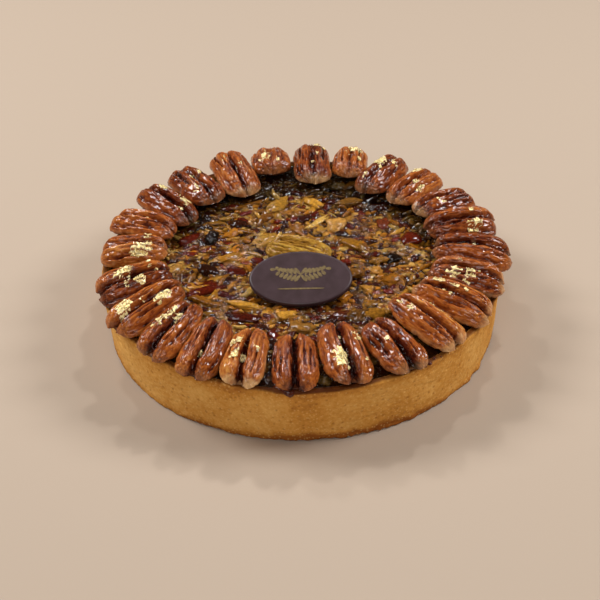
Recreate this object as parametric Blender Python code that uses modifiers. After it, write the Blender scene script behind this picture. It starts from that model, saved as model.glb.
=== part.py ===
# Pecan pie: a low round shell of baked shortcrust, filled to the rim with syrup and
# chopped nuts, ringed by 24 glazed pecan halves with scraps of gold leaf. An oval disc
# of chocolate leans on one more nut half near the middle.
# Metres, +Z up. The origin is the middle of the flat base, and -Y is the front.

import math
import random

import bmesh
import bpy
from mathutils import Matrix, Vector, noise
from mathutils.bvhtree import BVHTree

mm = 0.001
gap = 0.35 * mm                  # clear space between pieces that touch

# shell
baseRadius = 89.6 * mm           # baked in a ring 18 cm across
rimRadius = 91.8 * mm            # the wall leans out a little
rimHeight = 28.8 * mm
wallThickness = 3.4 * mm
floorThickness = 3.5 * mm
lipRadius = 1.4 * mm             # rounding of the rim's two edges
shellSteps = 96
wallSwell = 0.5 * mm             # hand-pressed dough: long swells of the wall's outside
wallGrain = 0.25 * mm            # shorter ones
footGrain = 0.6 * mm             # crumbly lowest edge
rimWave = 0.45 * mm              # the rim isn't quite level

# filling
fillingMiddle = 30.6 * mm        # height of the top in the middle
fillingDrop = 3.6 * mm           # fall from the middle to the edge
domePower = 4                    # keeps the middle flat and bends the edge down
fillingSteps = 48
# the largest pieces of nut in the filling: place of the middle in mm, turn in degrees,
# then length, breadth and height in mm
largePieces = (
    (-17, 15, 35, 13.5, 6.5, 3.5),
    (8, 29, 46, 16, 3, 3),
    (17, 27, -14, 8.5, 10, 4),
    (9, 22, -2, 5.5, 6.5, 3),
    (24, 10, -38, 12.5, 5.5, 3.5),
    (36, -3, 10, 8, 4, 3),
    (34, -11, -10, 5.5, 5.5, 3),
    (41, -18, 31, 10, 6, 3.5),
    (-42, 18, 0, 6.5, 8, 4.5),
    (52, 15, 0, 9.5, 10, 4.5),
    (-11, 45, 59, 15, 8, 4),
    (7, 46, -48, 10, 5, 3.5),
    (24, 47, 2, 13, 6, 3.5),
    (-42, -21, 29, 18, 8.5, 2.5),
    (-25, -43, -13, 15, 5.5, 2.5),
    (-25, -35, -16, 18, 3.5, 3),
    (-45, -30, -31, 10.5, 4.5, 3),
    (17, -43, 29, 9.5, 6.5, 2.5),
    (-1, -52, -15, 9.5, 7.5, 4),
    (32, -43, -20, 9, 7.5, 3.5),
    (-6, -43, 13, 8.5, 5, 3),
    (-52, 18, 29, 11.5, 7, 2.5),
    (-34, 1, 26, 12, 5.5, 3),
    (-29, -9, -13, 8.5, 7, 3),
    (-58, -6, 53, 12, 6, 3),
    (40, 29, 0, 7, 8.5, 3),
    (-22, -24, 44, 10, 4, 3),
    (2, 34, 41, 10, 4.5, 2.5),
    (42, -1, 17, 7.5, 6, 3),
    (-20, 0, -30, 7, 5, 2.5),
)
choppedSeed = 11
choppedReach = 66 * mm           # chopped nuts show out to here, between the halves
choppedKinds = (                 # how many, then length, breadth and height in mm
    (26, 7.5, 3.6, 4.2),
    (36, 5.0, 3.0, 3.6),
)
choppedPoints = 9                # corners of a piece
choppedRoom = 0.42               # share of its length kept free round a piece
choppedTilt = 0.35               # radians, either way
choppedClear = 0.7 * mm          # to the halves and the disc

# oval chocolate disc
discWidth = 45.8 * mm
discLength = 28 * mm
discThickness = 3 * mm
discTilt = math.radians(23)
discPlace = (-0.2 * mm, -25.3 * mm)
discBevel = 0.7 * mm
discSides = 44

# nut half that props the disc
propSize = (31 * mm, 18 * mm, 9 * mm)
propPlace = (-0.8 * mm, 0.5 * mm)
propTurn = math.radians(-24)
propFlare = 0.05

# ring of pecan halves: azimuth of the middle and turn from radial in degrees, distance
# from the pie's axis in mm, tilt (outer end down) and roll in degrees, flare (how much
# wider the outer end is than the inner one), height in mm at which its underside stands
# above the syrup and the rim, then length, width and height
pecanHalves = (
    (-92.5, 3, 77.5, 3, 0, 0.05, 0.5, 33, 19.75, 10.5),
    (-107.5, 7, 77.5, 4, 0, 0.12, 0.9, 33.5, 18.25, 10.5),
    (-121.5, 12, 78.5, 7, -6, 0.12, 0.5, 35, 18.5, 10.5),
    (-135.5, 14, 78.5, 7, -6, 0.15, 0.9, 35.5, 18.5, 10.5),
    (-150, 9, 77.5, 9, -12, 0.15, 0.6, 38, 18.5, 10.5),
    (-165.5, 6, 77, 7, -14, 0.12, 0.5, 35, 20, 10.5),
    (177, 0, 76.5, 5, -8, 0.06, 1.2, 31.5, 18.75, 11),
    (162.5, -9, 77, 5, 0, 0.08, 2, 34, 17.5, 11),
    (148, -14, 75.5, -2, 0, 0.05, 1.6, 36, 17.75, 11),
    (131, -6, 77.5, 2, 0, 0, 1.2, 35, 19.75, 11),
    (115, -5, 75, -2, 0, 0, 1.6, 38, 20, 11.5),
    (100, -4, 82, 5, 0, 0, 1.2, 21, 20.2, 11),
    (85, 7, 77, 2, 0, -0.03, 1.6, 34.5, 19, 11),
    (71.5, 12, 82, 4, 0, 0, 1.2, 25, 17.75, 11),
    (57.5, -2, 76.5, 1, 0, 0, 1.6, 35, 17.75, 11),
    (43.5, 4, 77.5, 3, 0, 0.08, 1, 34, 17.75, 11),
    (29.5, 0, 79, 6, 0, 0.1, 0.6, 33, 18, 10.5),
    (14.5, 0, 77.5, 4, 12, 0.1, 1.6, 35, 20, 11),
    (-1.5, -3, 78, 7, 14, 0.12, 0.6, 36.5, 19.75, 10.5),
    (-16, 3, 76.5, 8, 6, 0.12, 1.2, 34.5, 19, 10.5),
    (-30, 0, 76, 8, 12, 0.12, 0.6, 36.5, 18.25, 10.5),
    (-45, -1, 74.5, 8, 0, 0.12, 0.9, 38, 18.5, 10.5),
    (-61, 2, 77.3, 6, 0, 0.1, 0.5, 33, 20, 10.5),
    (-77, 0, 74.5, 5, -8, 0.08, 0.5, 36.5, 20.25, 10.5),
)

# form of a half, as shares of its half length, half width and height
planPower = 4                    # blunt ends and nearly straight sides
channelDepth = 0.42
channelWidth = 0.20
notchDepth = 0.15                # how far the channel cuts back each end
notchWidth = 0.30
endLift = 0.26                   # rise of the underside at the ends
edgeHeight = 0.34                # height of the widest line above the underside
underShorter = 0.97
pecanRings = (-0.97, -0.86, -0.64, -0.33, 0.0, 0.33, 0.64, 0.86, 0.97)
pecanAcross = (1.0, 0.8, 0.5, 0.2, 0.0, -0.2, -0.5, -0.8, -1.0)
pecanUnder = (-0.62, 0.0, 0.62)

# gold leaf scraps: number of the half, place along (-1 inner end, 1 outer end) and
# across (-1 to 1, from clockwise to anticlockwise), then length and width in mm
goldScraps = (
    (2, -0.20, -0.45, 3.0, 5.0),
    (2, 0.25, -0.35, 3.5, 4.5),
    (4, -0.30, -0.05, 4.0, 4.0),
    (4, 0.05, -0.45, 4.0, 3.5),
    (5, -0.35, 0.35, 6.5, 3.5),
    (5, 0.50, -0.35, 6.0, 5.0),
    (6, -0.10, 0.45, 4.0, 4.0),
    (6, 0.20, -0.35, 7.0, 3.5),
    (7, -0.45, -0.40, 2.5, 4.5),
    (7, -0.30, 0.55, 6.5, 4.5),
    (9, -0.50, -0.40, 4.5, 5.0),
    (9, 0.35, -0.40, 5.0, 3.0),
    (12, -0.40, 0.40, 3.5, 4.5),
    (13, 0.60, -0.35, 2.5, 5.0),
    (14, 0.40, -0.40, 3.0, 4.0),
    (15, 0.20, 0.40, 7.5, 3.5),
    (16, -0.20, -0.55, 4.0, 5.0),
    (16, 0.35, 0.40, 5.0, 3.0),
    (18, 0.20, -0.70, 5.0, 5.0),
    (20, -0.35, -0.55, 4.5, 4.0),
    (20, 0.05, -0.55, 4.0, 5.0),
    (21, -0.50, 0.40, 4.0, 2.5),
    (22, 0.15, 0.45, 3.0, 3.0),
    (24, 0.45, -0.40, 7.0, 4.5),
)
goldThickness = 0.5 * mm
goldSunk = 0.8 * mm
goldSides = 6


def makeMaterial(name, colour, roughness):
    material = bpy.data.materials.new(name)
    material.use_nodes = True
    shader = material.node_tree.nodes["Principled BSDF"]
    shader.inputs["Base Color"].default_value = (*colour, 1.0)
    shader.inputs["Roughness"].default_value = roughness
    shader.inputs["Metallic"].default_value = 0.0
    material.diffuse_color = (*colour, 1.0)
    return material


def addObject(name, mesh, group, material=None):
    thing = bpy.data.objects.new(name, mesh)
    group.objects.link(thing)
    if material:
        mesh.materials.clear()
        mesh.materials.append(material)
    return thing


# replaces an object's mesh by the one that its modifiers give
def bake(thing):
    bpy.context.view_layer.update()
    evaluated = thing.evaluated_get(bpy.context.evaluated_depsgraph_get())
    mesh = bpy.data.meshes.new_from_object(evaluated)
    thing.modifiers.clear()
    old = thing.data
    thing.data = mesh
    bpy.data.meshes.remove(old)


# joins coincident points and keeps the largest body, which drops loose scraps
def cleanMesh(mesh):
    form = bmesh.new()
    form.from_mesh(mesh)
    bmesh.ops.remove_doubles(form, verts=form.verts, dist=0.001 * mm)
    bmesh.ops.dissolve_degenerate(form, edges=form.edges, dist=0.001 * mm)
    bodies = []
    seen = set()
    for start in form.verts:
        if start in seen:
            continue
        body = {start}
        front = [start]
        while front:
            vertex = front.pop()
            for edge in vertex.link_edges:
                other = edge.other_vert(vertex)
                if other not in body:
                    body.add(other)
                    front.append(other)
        seen |= body
        bodies.append(body)
    largest = max(bodies, key=len)
    loose = [vertex for vertex in form.verts if vertex not in largest]
    bmesh.ops.delete(form, geom=loose, context="VERTS")
    bmesh.ops.triangulate(form, faces=form.faces)
    form.to_mesh(mesh)
    form.free()


# turned solid from a profile of (radius, height) points
def turn(name, profile, steps, group, material):
    mesh = bpy.data.meshes.new(name)
    points = [(radius, 0.0, height) for radius, height in profile]
    edges = [(number, number + 1) for number in range(len(points) - 1)]
    mesh.from_pydata(points, edges, [])
    thing = addObject(name, mesh, group)
    screw = thing.modifiers.new("turn", "SCREW")
    screw.axis = "Z"
    screw.angle = math.tau
    screw.steps = steps
    screw.render_steps = steps
    screw.use_merge_vertices = True
    screw.merge_threshold = 0.00001
    bake(thing)
    cleanMesh(thing.data)
    thing.data.materials.append(material)
    return thing


# radius of the shell's inside at a height, which leans out like its outside
def insideRadius(height):
    lean = (rimRadius - baseRadius) * height / rimHeight
    return baseRadius + lean - wallThickness


def fillingHeight(radius):
    return fillingMiddle - fillingDrop * (radius / insideRadius(rimHeight)) ** domePower


def buildShell(group, material):
    lip = lipRadius
    outer = rimRadius
    inner = insideRadius(rimHeight)
    profile = [(0.0, floorThickness), (insideRadius(floorThickness), floorThickness)]
    profile.append((inner, rimHeight - lip))
    profile.append((inner + 0.3 * lip, rimHeight - 0.3 * lip))
    profile.append((inner + lip, rimHeight))
    profile.append((outer - lip, rimHeight))
    profile.append((outer - 0.3 * lip, rimHeight - 0.3 * lip))
    profile.append((outer, rimHeight - lip))
    for share in (0.68, 0.42, 0.2, 0.05):
        profile.append((baseRadius + (outer - baseRadius) * share, rimHeight * share))
    profile.append((baseRadius - 0.8 * mm, 0.0))
    profile.append((0.0, 0.0))
    shell = turn("crust", profile, shellSteps, group, material)
    for vertex in shell.data.vertices:
        point = vertex.co
        radius = math.hypot(point.x, point.y)
        isOutside = radius > insideRadius(point.z) + 0.2 * wallThickness
        if isOutside and point.z > 0.5 * mm:
            swell = wallSwell * noise.noise(point * 38) + wallGrain * noise.noise(point * 130)
            if point.z < 0.1 * rimHeight:
                swell += footGrain * noise.noise(point * 260)
            point.x *= 1 + swell / radius
            point.y *= 1 + swell / radius
            if point.z > rimHeight - 2 * lip:
                point.z += rimWave * noise.noise(Vector((point.x, point.y, 0)) * 45)
    return shell


def buildFillingCore(group, material):
    edge = insideRadius(rimHeight) - gap
    profile = [(0.0, fillingHeight(0))]
    for share in (0.18, 0.36, 0.54, 0.7, 0.82, 0.92, 0.97):
        profile.append((edge * share, fillingHeight(edge * share)))
    edgeZ = fillingHeight(edge)
    profile.append((insideRadius(edgeZ) - gap, edgeZ))
    profile.append((insideRadius(floorThickness) - gap, floorThickness + gap))
    profile.append((0.0, floorThickness + gap))
    core = turn("filling", profile, fillingSteps, group, material)
    return core


# outline of a half seen from above, as a share of its half width
def planShare(along, flare):
    return (1 - abs(along) ** planPower) ** 0.5 * (1 + flare * along)


# height of a half's back at a place along it and across it, as a share of its height
def backHeight(along, across):
    crown = (1 - abs(along) ** 3.6) ** 0.5
    under = endLift * abs(along) ** 3
    edge = under + edgeHeight * crown * (1 - 0.4 * abs(along) ** 3)
    bulge = (1 - abs(across) ** 2.6) ** 0.6
    height = edge + (crown * (1 - 0.1 * along ** 2) + 0.5 * under - edge) * max(bulge, 0)
    channel = channelDepth * math.exp(-(across / channelWidth) ** 2) * crown ** 0.35
    return max(height - channel * (1 - abs(across)), under + 0.04)


def underHeight(along, across):
    return endLift * abs(along) ** 3 + 0.1 * across ** 2


# one nut half with its back up: x runs along it, outer end at +x, and z = 0 is its
# underside, a loft through rings of points with a point at each end
def nutMesh(name, length, width, height, flare):
    a = length / 2
    b = width / 2
    form = bmesh.new()
    rings = []
    for along in pecanRings:
        ring = []
        for across in pecanAcross:
            notch = notchDepth * math.exp(-(across / notchWidth) ** 2) * abs(along) ** 6
            x = a * along * (1 - notch)
            y = b * across * planShare(along, flare)
            ring.append((x, y, height * backHeight(along, across)))
        for across in pecanUnder:
            x = a * along * underShorter
            y = b * across * planShare(along, flare)
            ring.append((x, y, height * underHeight(along, across)))
        rings.append([form.verts.new(point) for point in ring])
    for lower, upper in zip(rings, rings[1:]):
        count = len(lower)
        for number in range(count):
            after = (number + 1) % count
            form.faces.new((lower[number], lower[after], upper[after], upper[number]))
    for ring, sign in ((rings[0], -1), (rings[-1], 1)):
        x = sign * a * (1 - notchDepth)
        z = sum(vertex.co.z for vertex in ring) / len(ring)
        tip = form.verts.new((x, 0, z))
        for number in range(len(ring)):
            after = (number + 1) % len(ring)
            form.faces.new((tip, ring[number], ring[after]))
    bmesh.ops.recalc_face_normals(form, faces=form.faces)
    bmesh.ops.triangulate(form, faces=form.faces)
    mesh = bpy.data.meshes.new(name)
    form.to_mesh(mesh)
    form.free()
    return mesh


def treeOf(things):
    form = bmesh.new()
    for thing in things:
        copy = thing.data.copy()
        copy.transform(thing.matrix_basis)
        form.from_mesh(copy)
        bpy.data.meshes.remove(copy)
    tree = BVHTree.FromBMesh(form)
    form.free()
    return tree


# lowers a solid until it stands a given height above what lies under it
def dropOnto(thing, tree, clearance=gap):
    lowest = 1.0
    mesh = thing.data.copy()
    mesh.transform(thing.matrix_basis)
    samples = [vertex.co.copy() for vertex in mesh.vertices]
    samples += [face.center.copy() for face in mesh.polygons]
    for point in samples:
        hit = tree.ray_cast(point, Vector((0, 0, -1)))
        if hit[0] is not None:
            lowest = min(lowest, hit[3])
    bpy.data.meshes.remove(mesh)
    thing.matrix_basis = Matrix.Translation((0, 0, clearance - lowest)) @ thing.matrix_basis


def buildPecan(number, row, support, group, material):
    azimuth, turnAway, distance, tilt, roll, flare, clearance, length, width, height = row
    name = f"pecan_{number:02d}"
    mesh = nutMesh(name, length * mm, width * mm, height * mm, flare)
    nut = addObject(name, mesh, group, material)
    angle = math.radians(azimuth)
    place = Vector((math.cos(angle), math.sin(angle), 0)) * distance * mm
    turned = Matrix.Rotation(math.radians(azimuth + turnAway), 4, "Z")
    tilted = Matrix.Rotation(math.radians(tilt), 4, "Y")
    rolled = Matrix.Rotation(math.radians(roll), 4, "X")
    lifted = Matrix.Translation(place + Vector((0, 0, 2 * rimHeight)))
    nut.matrix_basis = lifted @ turned @ tilted @ rolled
    dropOnto(nut, support, clearance * mm)
    return nut


def buildDisc(support, group, material):
    bpy.ops.mesh.primitive_cylinder_add(vertices=discSides, radius=0.5, depth=1)
    disc = bpy.context.active_object
    for collection in disc.users_collection:
        collection.objects.unlink(disc)
    group.objects.link(disc)
    disc.name = "plaque"
    disc.data.transform(Matrix.Diagonal((discWidth, discLength, discThickness, 1)))
    bevel = disc.modifiers.new("rounded edge", "BEVEL")
    bevel.width = discBevel
    bevel.segments = 2
    bevel.limit_method = "ANGLE"
    disc.data.materials.append(material)
    lifted = Matrix.Translation((*discPlace, 2 * rimHeight))
    disc.matrix_basis = lifted @ Matrix.Rotation(discTilt, 4, "X")
    dropOnto(disc, support)
    return disc


def buildProp(support, group, material):
    prop = addObject("nut_prop", nutMesh("nut_prop", *propSize, propFlare), group, material)
    lifted = Matrix.Translation((*propPlace, 2 * rimHeight))
    prop.matrix_basis = lifted @ Matrix.Rotation(propTurn, 4, "Z")
    dropOnto(prop, support)
    return prop


# an irregular chip: the hull of a few points on an egg shape
def chipMesh(name, rng, length, breadth, height):
    form = bmesh.new()
    for _ in range(choppedPoints):
        direction = Vector((rng.gauss(0, 1), rng.gauss(0, 1), rng.gauss(0, 1))).normalized()
        point = (direction.x * length / 2, direction.y * breadth / 2, direction.z * height / 2)
        form.verts.new(point)
    bmesh.ops.convex_hull(form, input=form.verts)
    inside = [vertex for vertex in form.verts if not vertex.link_faces]
    bmesh.ops.delete(form, geom=inside, context="VERTS")
    mesh = bpy.data.meshes.new(name)
    form.to_mesh(mesh)
    form.free()
    return mesh


# a chip stands in the syrup unless it would come too near what lies on the filling
def placeChip(mesh, middle, tree, chips):
    grown = bmesh.new()
    grown.from_mesh(mesh)
    for vertex in grown.verts:
        vertex.co += (vertex.co - middle).normalized() * choppedClear
    crosses = BVHTree.FromBMesh(grown).overlap(tree)
    grown.free()
    if not crosses:
        addObject("chip", mesh, chips)
    return not crosses


# chopped nuts, largest first, clear of one another and of what lies on the filling
def placeChips(toppings):
    rng = random.Random(choppedSeed)
    tree = treeOf(toppings)
    taken = []
    chips = bpy.data.collections.new("chips")
    bpy.context.scene.collection.children.link(chips)
    for x, y, angle, length, breadth, height in largePieces:
        mesh = chipMesh("chip", rng, length * mm, breadth * mm, height * mm)
        middle = Vector((x * mm, y * mm, fillingHeight(math.hypot(x, y) * mm)))
        mesh.transform(Matrix.Translation(middle) @ Matrix.Rotation(math.radians(angle), 4, "Z"))
        if placeChip(mesh, middle, tree, chips):
            taken.append((middle.x, middle.y, choppedRoom * math.sqrt(length * breadth) * mm))
    for count, length, breadth, height in choppedKinds:
        made = 0
        tries = 0
        while made < count and tries < 60 * count:
            tries += 1
            reach = choppedReach * math.sqrt(rng.random())
            angle = math.tau * rng.random()
            x = reach * math.cos(angle)
            y = reach * math.sin(angle)
            room = choppedRoom * length * mm
            if any(math.hypot(x - u, y - v) < room + other for u, v, other in taken):
                continue
            size = rng.uniform(0.8, 1.25)
            mesh = chipMesh("chip", rng, length * size * mm, breadth * size * mm,
                            height * size * mm)
            turned = Matrix.Rotation(math.tau * rng.random(), 4, "Z")
            tilted = Matrix.Rotation(rng.uniform(-choppedTilt, choppedTilt), 4, "Y")
            middle = Vector((x, y, fillingHeight(reach) + rng.uniform(-0.1, 0.2) * height * mm))
            mesh.transform(Matrix.Translation(middle) @ turned @ tilted)
            if placeChip(mesh, middle, tree, chips):
                taken.append((x, y, room))
                made += 1
    return chips


# one union of a solid with a collection of pieces, whose objects are then removed
def fuse(body, pieces, solver):
    join = body.modifiers.new("join", "BOOLEAN")
    join.operation = "UNION"
    join.operand_type = "COLLECTION"
    join.collection = pieces
    join.solver = solver
    bake(body)
    for piece in list(pieces.objects):
        bpy.data.objects.remove(piece)
    bpy.data.collections.remove(pieces)
    cleanMesh(body.data)


# thin scraps of gold leaf on a half, each a flat many-sided slab sunk into its back
def addGold(number, nut, row):
    scraps = [scrap[1:] for scrap in goldScraps if scrap[0] == number]
    if not scraps:
        return
    length, width, height = row[-3:]
    flare = row[5]
    rng = random.Random(number)
    pieces = bpy.data.collections.new("gold")
    bpy.context.scene.collection.children.link(pieces)
    for along, across, scrapLength, scrapWidth in scraps:
        step = 0.04
        here = Vector((length / 2 * along, width / 2 * across * planShare(along, flare),
                       height * backHeight(along, across))) * mm
        ahead = Vector((length / 2 * step, 0, height * (backHeight(along + step, across)
                                                        - backHeight(along - step, across)) / 2))
        beside = Vector((0, width / 2 * step * planShare(along, flare),
                         height * (backHeight(along, across + step)
                                   - backHeight(along, across - step)) / 2))
        up = ahead.cross(beside).normalized()
        lengthwise = ahead.normalized()
        sideways = up.cross(lengthwise)
        form = bmesh.new()
        rim = []
        for corner in range(goldSides):
            angle = math.tau * corner / goldSides
            out = rng.uniform(0.8, 1.2)
            rim.append(here + (lengthwise * math.cos(angle) * scrapLength / 2 * out
                               + sideways * math.sin(angle) * scrapWidth / 2 * out) * mm)
        top = [form.verts.new(point + up * goldThickness) for point in rim]
        bottom = [form.verts.new(point - up * goldSunk) for point in rim]
        form.faces.new(top)
        form.faces.new(list(reversed(bottom)))
        for corner in range(goldSides):
            after = (corner + 1) % goldSides
            form.faces.new((bottom[corner], bottom[after], top[after], top[corner]))
        bmesh.ops.recalc_face_normals(form, faces=form.faces)
        mesh = bpy.data.meshes.new("gold")
        form.to_mesh(mesh)
        form.free()
        mesh.transform(nut.matrix_basis)
        addObject("gold", mesh, pieces)
    fuse(nut, pieces, "MANIFOLD")


def main():
    for thing in list(bpy.data.objects):
        bpy.data.objects.remove(thing)
    pie = bpy.data.collections.new("pecan pie")
    bpy.context.scene.collection.children.link(pie)

    crustMaterial = makeMaterial("baked shortcrust", (0.40, 0.20, 0.065), 0.8)
    fillingMaterial = makeMaterial("nut filling in syrup", (0.17, 0.085, 0.03), 0.3)
    pecanMaterial = makeMaterial("glazed pecan", (0.22, 0.065, 0.025), 0.25)
    chocolateMaterial = makeMaterial("dark chocolate", (0.055, 0.035, 0.04), 0.5)
    propMaterial = makeMaterial("pale pecan", (0.38, 0.24, 0.08), 0.35)

    shell = buildShell(pie, crustMaterial)
    filling = buildFillingCore(pie, fillingMaterial)
    support = treeOf([shell, filling])
    nuts = []
    for number, row in enumerate(pecanHalves, start=1):
        nuts.append(buildPecan(number, row, support, pie, pecanMaterial))
    prop = buildProp(support, pie, propMaterial)
    disc = buildDisc(treeOf([shell, filling, prop]), pie, chocolateMaterial)
    fuse(filling, placeChips(nuts + [disc, prop]), "EXACT")
    for number, (nut, row) in enumerate(zip(nuts, pecanHalves), start=1):
        addGold(number, nut, row)
    for thing in pie.objects:
        thing.data.shade_smooth()
        thing.data.set_sharp_from_angle(angle=math.radians(35))


main()
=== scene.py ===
import math
import random

import bmesh
import bpy
import numpy as np
from mathutils import Matrix, Vector, noise
from mathutils.bvhtree import BVHTree


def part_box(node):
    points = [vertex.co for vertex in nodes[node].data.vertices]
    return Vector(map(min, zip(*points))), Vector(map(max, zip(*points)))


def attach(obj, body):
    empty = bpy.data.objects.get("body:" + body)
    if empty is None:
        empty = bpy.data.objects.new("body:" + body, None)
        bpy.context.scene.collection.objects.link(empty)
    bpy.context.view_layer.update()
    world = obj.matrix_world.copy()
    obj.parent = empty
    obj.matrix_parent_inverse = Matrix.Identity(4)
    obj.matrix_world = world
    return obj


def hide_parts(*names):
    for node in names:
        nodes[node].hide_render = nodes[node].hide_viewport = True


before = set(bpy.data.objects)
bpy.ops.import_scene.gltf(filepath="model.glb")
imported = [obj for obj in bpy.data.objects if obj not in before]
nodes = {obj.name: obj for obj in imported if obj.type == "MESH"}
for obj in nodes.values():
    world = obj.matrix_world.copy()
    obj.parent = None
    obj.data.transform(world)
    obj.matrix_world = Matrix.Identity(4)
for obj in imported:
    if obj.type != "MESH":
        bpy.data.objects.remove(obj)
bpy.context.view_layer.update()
scene = bpy.context.scene
scene.view_settings.view_transform = "Standard"
mm = 0.001

# the solids' own measures, in mm
shellForm = {
    "baseRadius": 89.6,
    "rimRadius": 91.8,
    "rimHeight": 28.8,
    "wallThickness": 3.4,
    "floorThickness": 3.5,
    "lipRadius": 1.4,
}
fillingForm = {"middle": 30.6, "drop": 3.6, "domePower": 4}
gap = 0.35          # between the filling and the shell


# helpers

def linearColour(text):
    channels = [int(text[start:start + 2], 16) / 255 for start in (1, 3, 5)]
    flat = [c / 12.92 if c <= 0.04045 else ((c + 0.055) / 1.055) ** 2.4 for c in channels]
    return (*flat, 1.0)


# adds a shader node; a socket's entry is a value, or another node's output to link
def addNode(material, kind, sockets=None, stops=None, **settings):
    made = material.node_tree.nodes.new("ShaderNode" + kind)
    for name, value in settings.items():
        setattr(made, name, value)
    if stops:
        while len(made.color_ramp.elements) < len(stops):
            made.color_ramp.elements.new(0.5)
        for element, (place, colour) in zip(made.color_ramp.elements, stops):
            element.position = place
            element.color = linearColour(colour) if isinstance(colour, str) else (colour,) * 3 + (1,)
    for socket, value in (sockets or {}).items():
        if isinstance(value, bpy.types.NodeSocket):
            material.node_tree.links.new(value, made.inputs[socket])
        else:
            made.inputs[socket].default_value = value
    return made


def startMaterial(name, sockets):
    material = bpy.data.materials.new(name)
    material.use_nodes = True
    shader = material.node_tree.nodes["Principled BSDF"]
    for socket, value in sockets.items():
        shader.inputs[socket].default_value = value
    return material, shader


def join(material, output, socket):
    material.node_tree.links.new(output, socket)


# noise at each row of an array of points, which are in the units of the noise
def noiseAt(points, seed=0.0):
    shifted = np.asarray(points, float) + (seed * 7.31, seed * 3.17, seed * 5.93)
    return np.array([noise.noise(point) for point in shifted.tolist()])


# noises added up, from rows of (height, size, seed) in the points' own unit
def layers(points, rows):
    return sum(height * noiseAt(points / size, seed) for height, size, seed in rows)


# the same over a level grid of places
def layersOver(x, y, rows):
    level = np.stack([np.ravel(x), np.ravel(y), 0 * np.ravel(x)], 1)
    return layers(level, rows).reshape(np.shape(x))


def smoothStep(low, high, value):
    share = np.clip((value - low) / (high - low), 0, 1)
    return share * share * (3 - 2 * share)


# points moved from a piece's own frame to the pie's, by a matrix
def moved(points, place):
    return np.asarray(points) @ np.array(place.to_3x3()).T + np.array(place.translation)


# a mesh piece in the row frame from points in mm, with values per point for its material
def makePiece(name, points, faces, material, values=None, replaced=(), flat=False):
    mesh = bpy.data.meshes.new(name)
    mesh.from_pydata((np.asarray(points) * mm).tolist(), [], faces)
    mesh.materials.append(material)
    for key, array in (values or {}).items():
        array = np.asarray(array, np.float32)
        if array.ndim == 1:
            mesh.attributes.new(key, "FLOAT", "POINT").data.foreach_set("value", array)
        elif array.shape[1] == 4:
            mesh.attributes.new(key, "FLOAT_COLOR", "POINT").data.foreach_set("color", array.ravel())
        else:
            mesh.attributes.new(key, "FLOAT_VECTOR", "POINT").data.foreach_set("vector", array.ravel())
    if not flat:
        mesh.shade_smooth()
    mesh.update()
    piece = bpy.data.objects.new(name, mesh)
    scene.collection.objects.link(piece)
    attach(piece, "root")
    if replaced:
        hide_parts(*replaced)
    return piece


# faces of a grid of rows and columns of points, closed round the columns if asked
def gridFaces(rows, columns, closed):
    faces = []
    for row in range(0, (rows - 1) * columns, columns):
        for column in range(columns if closed else columns - 1):
            after = (column + 1) % columns
            faces.append((row + column, row + after, row + columns + after, row + columns + column))
    return faces


def treeOfNodes(names):
    points = []
    faces = []
    for name in names:
        mesh = nodes[name].data
        start = len(points)
        points += [vertex.co * 1000 for vertex in mesh.vertices]
        faces += [[start + index for index in face.vertices] for face in mesh.polygons]
    return BVHTree.FromPolygons(points, faces)


def insideRadius(height):
    lean = (shellForm["rimRadius"] - shellForm["baseRadius"]) * height / shellForm["rimHeight"]
    return shellForm["baseRadius"] + lean - shellForm["wallThickness"]


def fillingHeight(radius):
    share = radius / insideRadius(shellForm["rimHeight"])
    return fillingForm["middle"] - fillingForm["drop"] * share ** fillingForm["domePower"]


# camera, light and floor

# the photograph's view, solved from the base and rim circles, in mm and degrees
lens = {"focal": 81.57, "place": (0.147, -513.187, 390.061), "turn": (53.2703, 0.9714, -0.6199)}
studio = {
    "sky": "#f3d6b6",
    "skyStrength": 0.17,
    "floor": ("#ac9c8c", "#ab9b8b"),
    "floorReach": 3.0,          # m, and how far the floor lies under the base
    "floorDrop": 0.0004,
    "aim": (0, 0, 0.02),
    "lights": (                 # name, place and width in metres, power in watts
        ("key from the left", (-0.80, 0.30, 0.85), 0.42, 10.2),
        ("key from the right", (0.85, 0.10, 0.80), 0.42, 9.2),
        ("from behind on the right", (0.28, 0.70, 1.15), 0.09, 3.8),
        ("from behind on the left", (-0.40, 0.80, 1.05), 0.09, 3.0),
        ("soft front", (-0.15, -1.05, 1.0), 0.9, 6.4),
    ),
}


def aimCamera():
    data = bpy.data.cameras.new("camera")
    data.lens = lens["focal"]
    data.sensor_width = 36
    data.clip_end = 20
    camera = bpy.data.objects.new("camera", data)
    camera.location = Vector(lens["place"]) * mm
    camera.rotation_euler = [math.radians(angle) for angle in lens["turn"]]
    scene.collection.objects.link(camera)
    scene.camera = camera


def addLight(name, place, size, power):
    data = bpy.data.lights.new(name, "AREA")
    data.shape = "DISK"
    data.size = size
    data.energy = power
    light = bpy.data.objects.new(name, data)
    light.location = place
    way = Vector(studio["aim"]) - Vector(place)
    light.rotation_euler = way.to_track_quat("-Z", "Y").to_euler()
    scene.collection.objects.link(light)


def lightSky():
    world = bpy.data.worlds.new("studio")
    world.use_nodes = True
    background = world.node_tree.nodes["Background"]
    background.inputs["Color"].default_value = linearColour(studio["sky"])
    background.inputs["Strength"].default_value = studio["skyStrength"]
    scene.world = world


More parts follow.
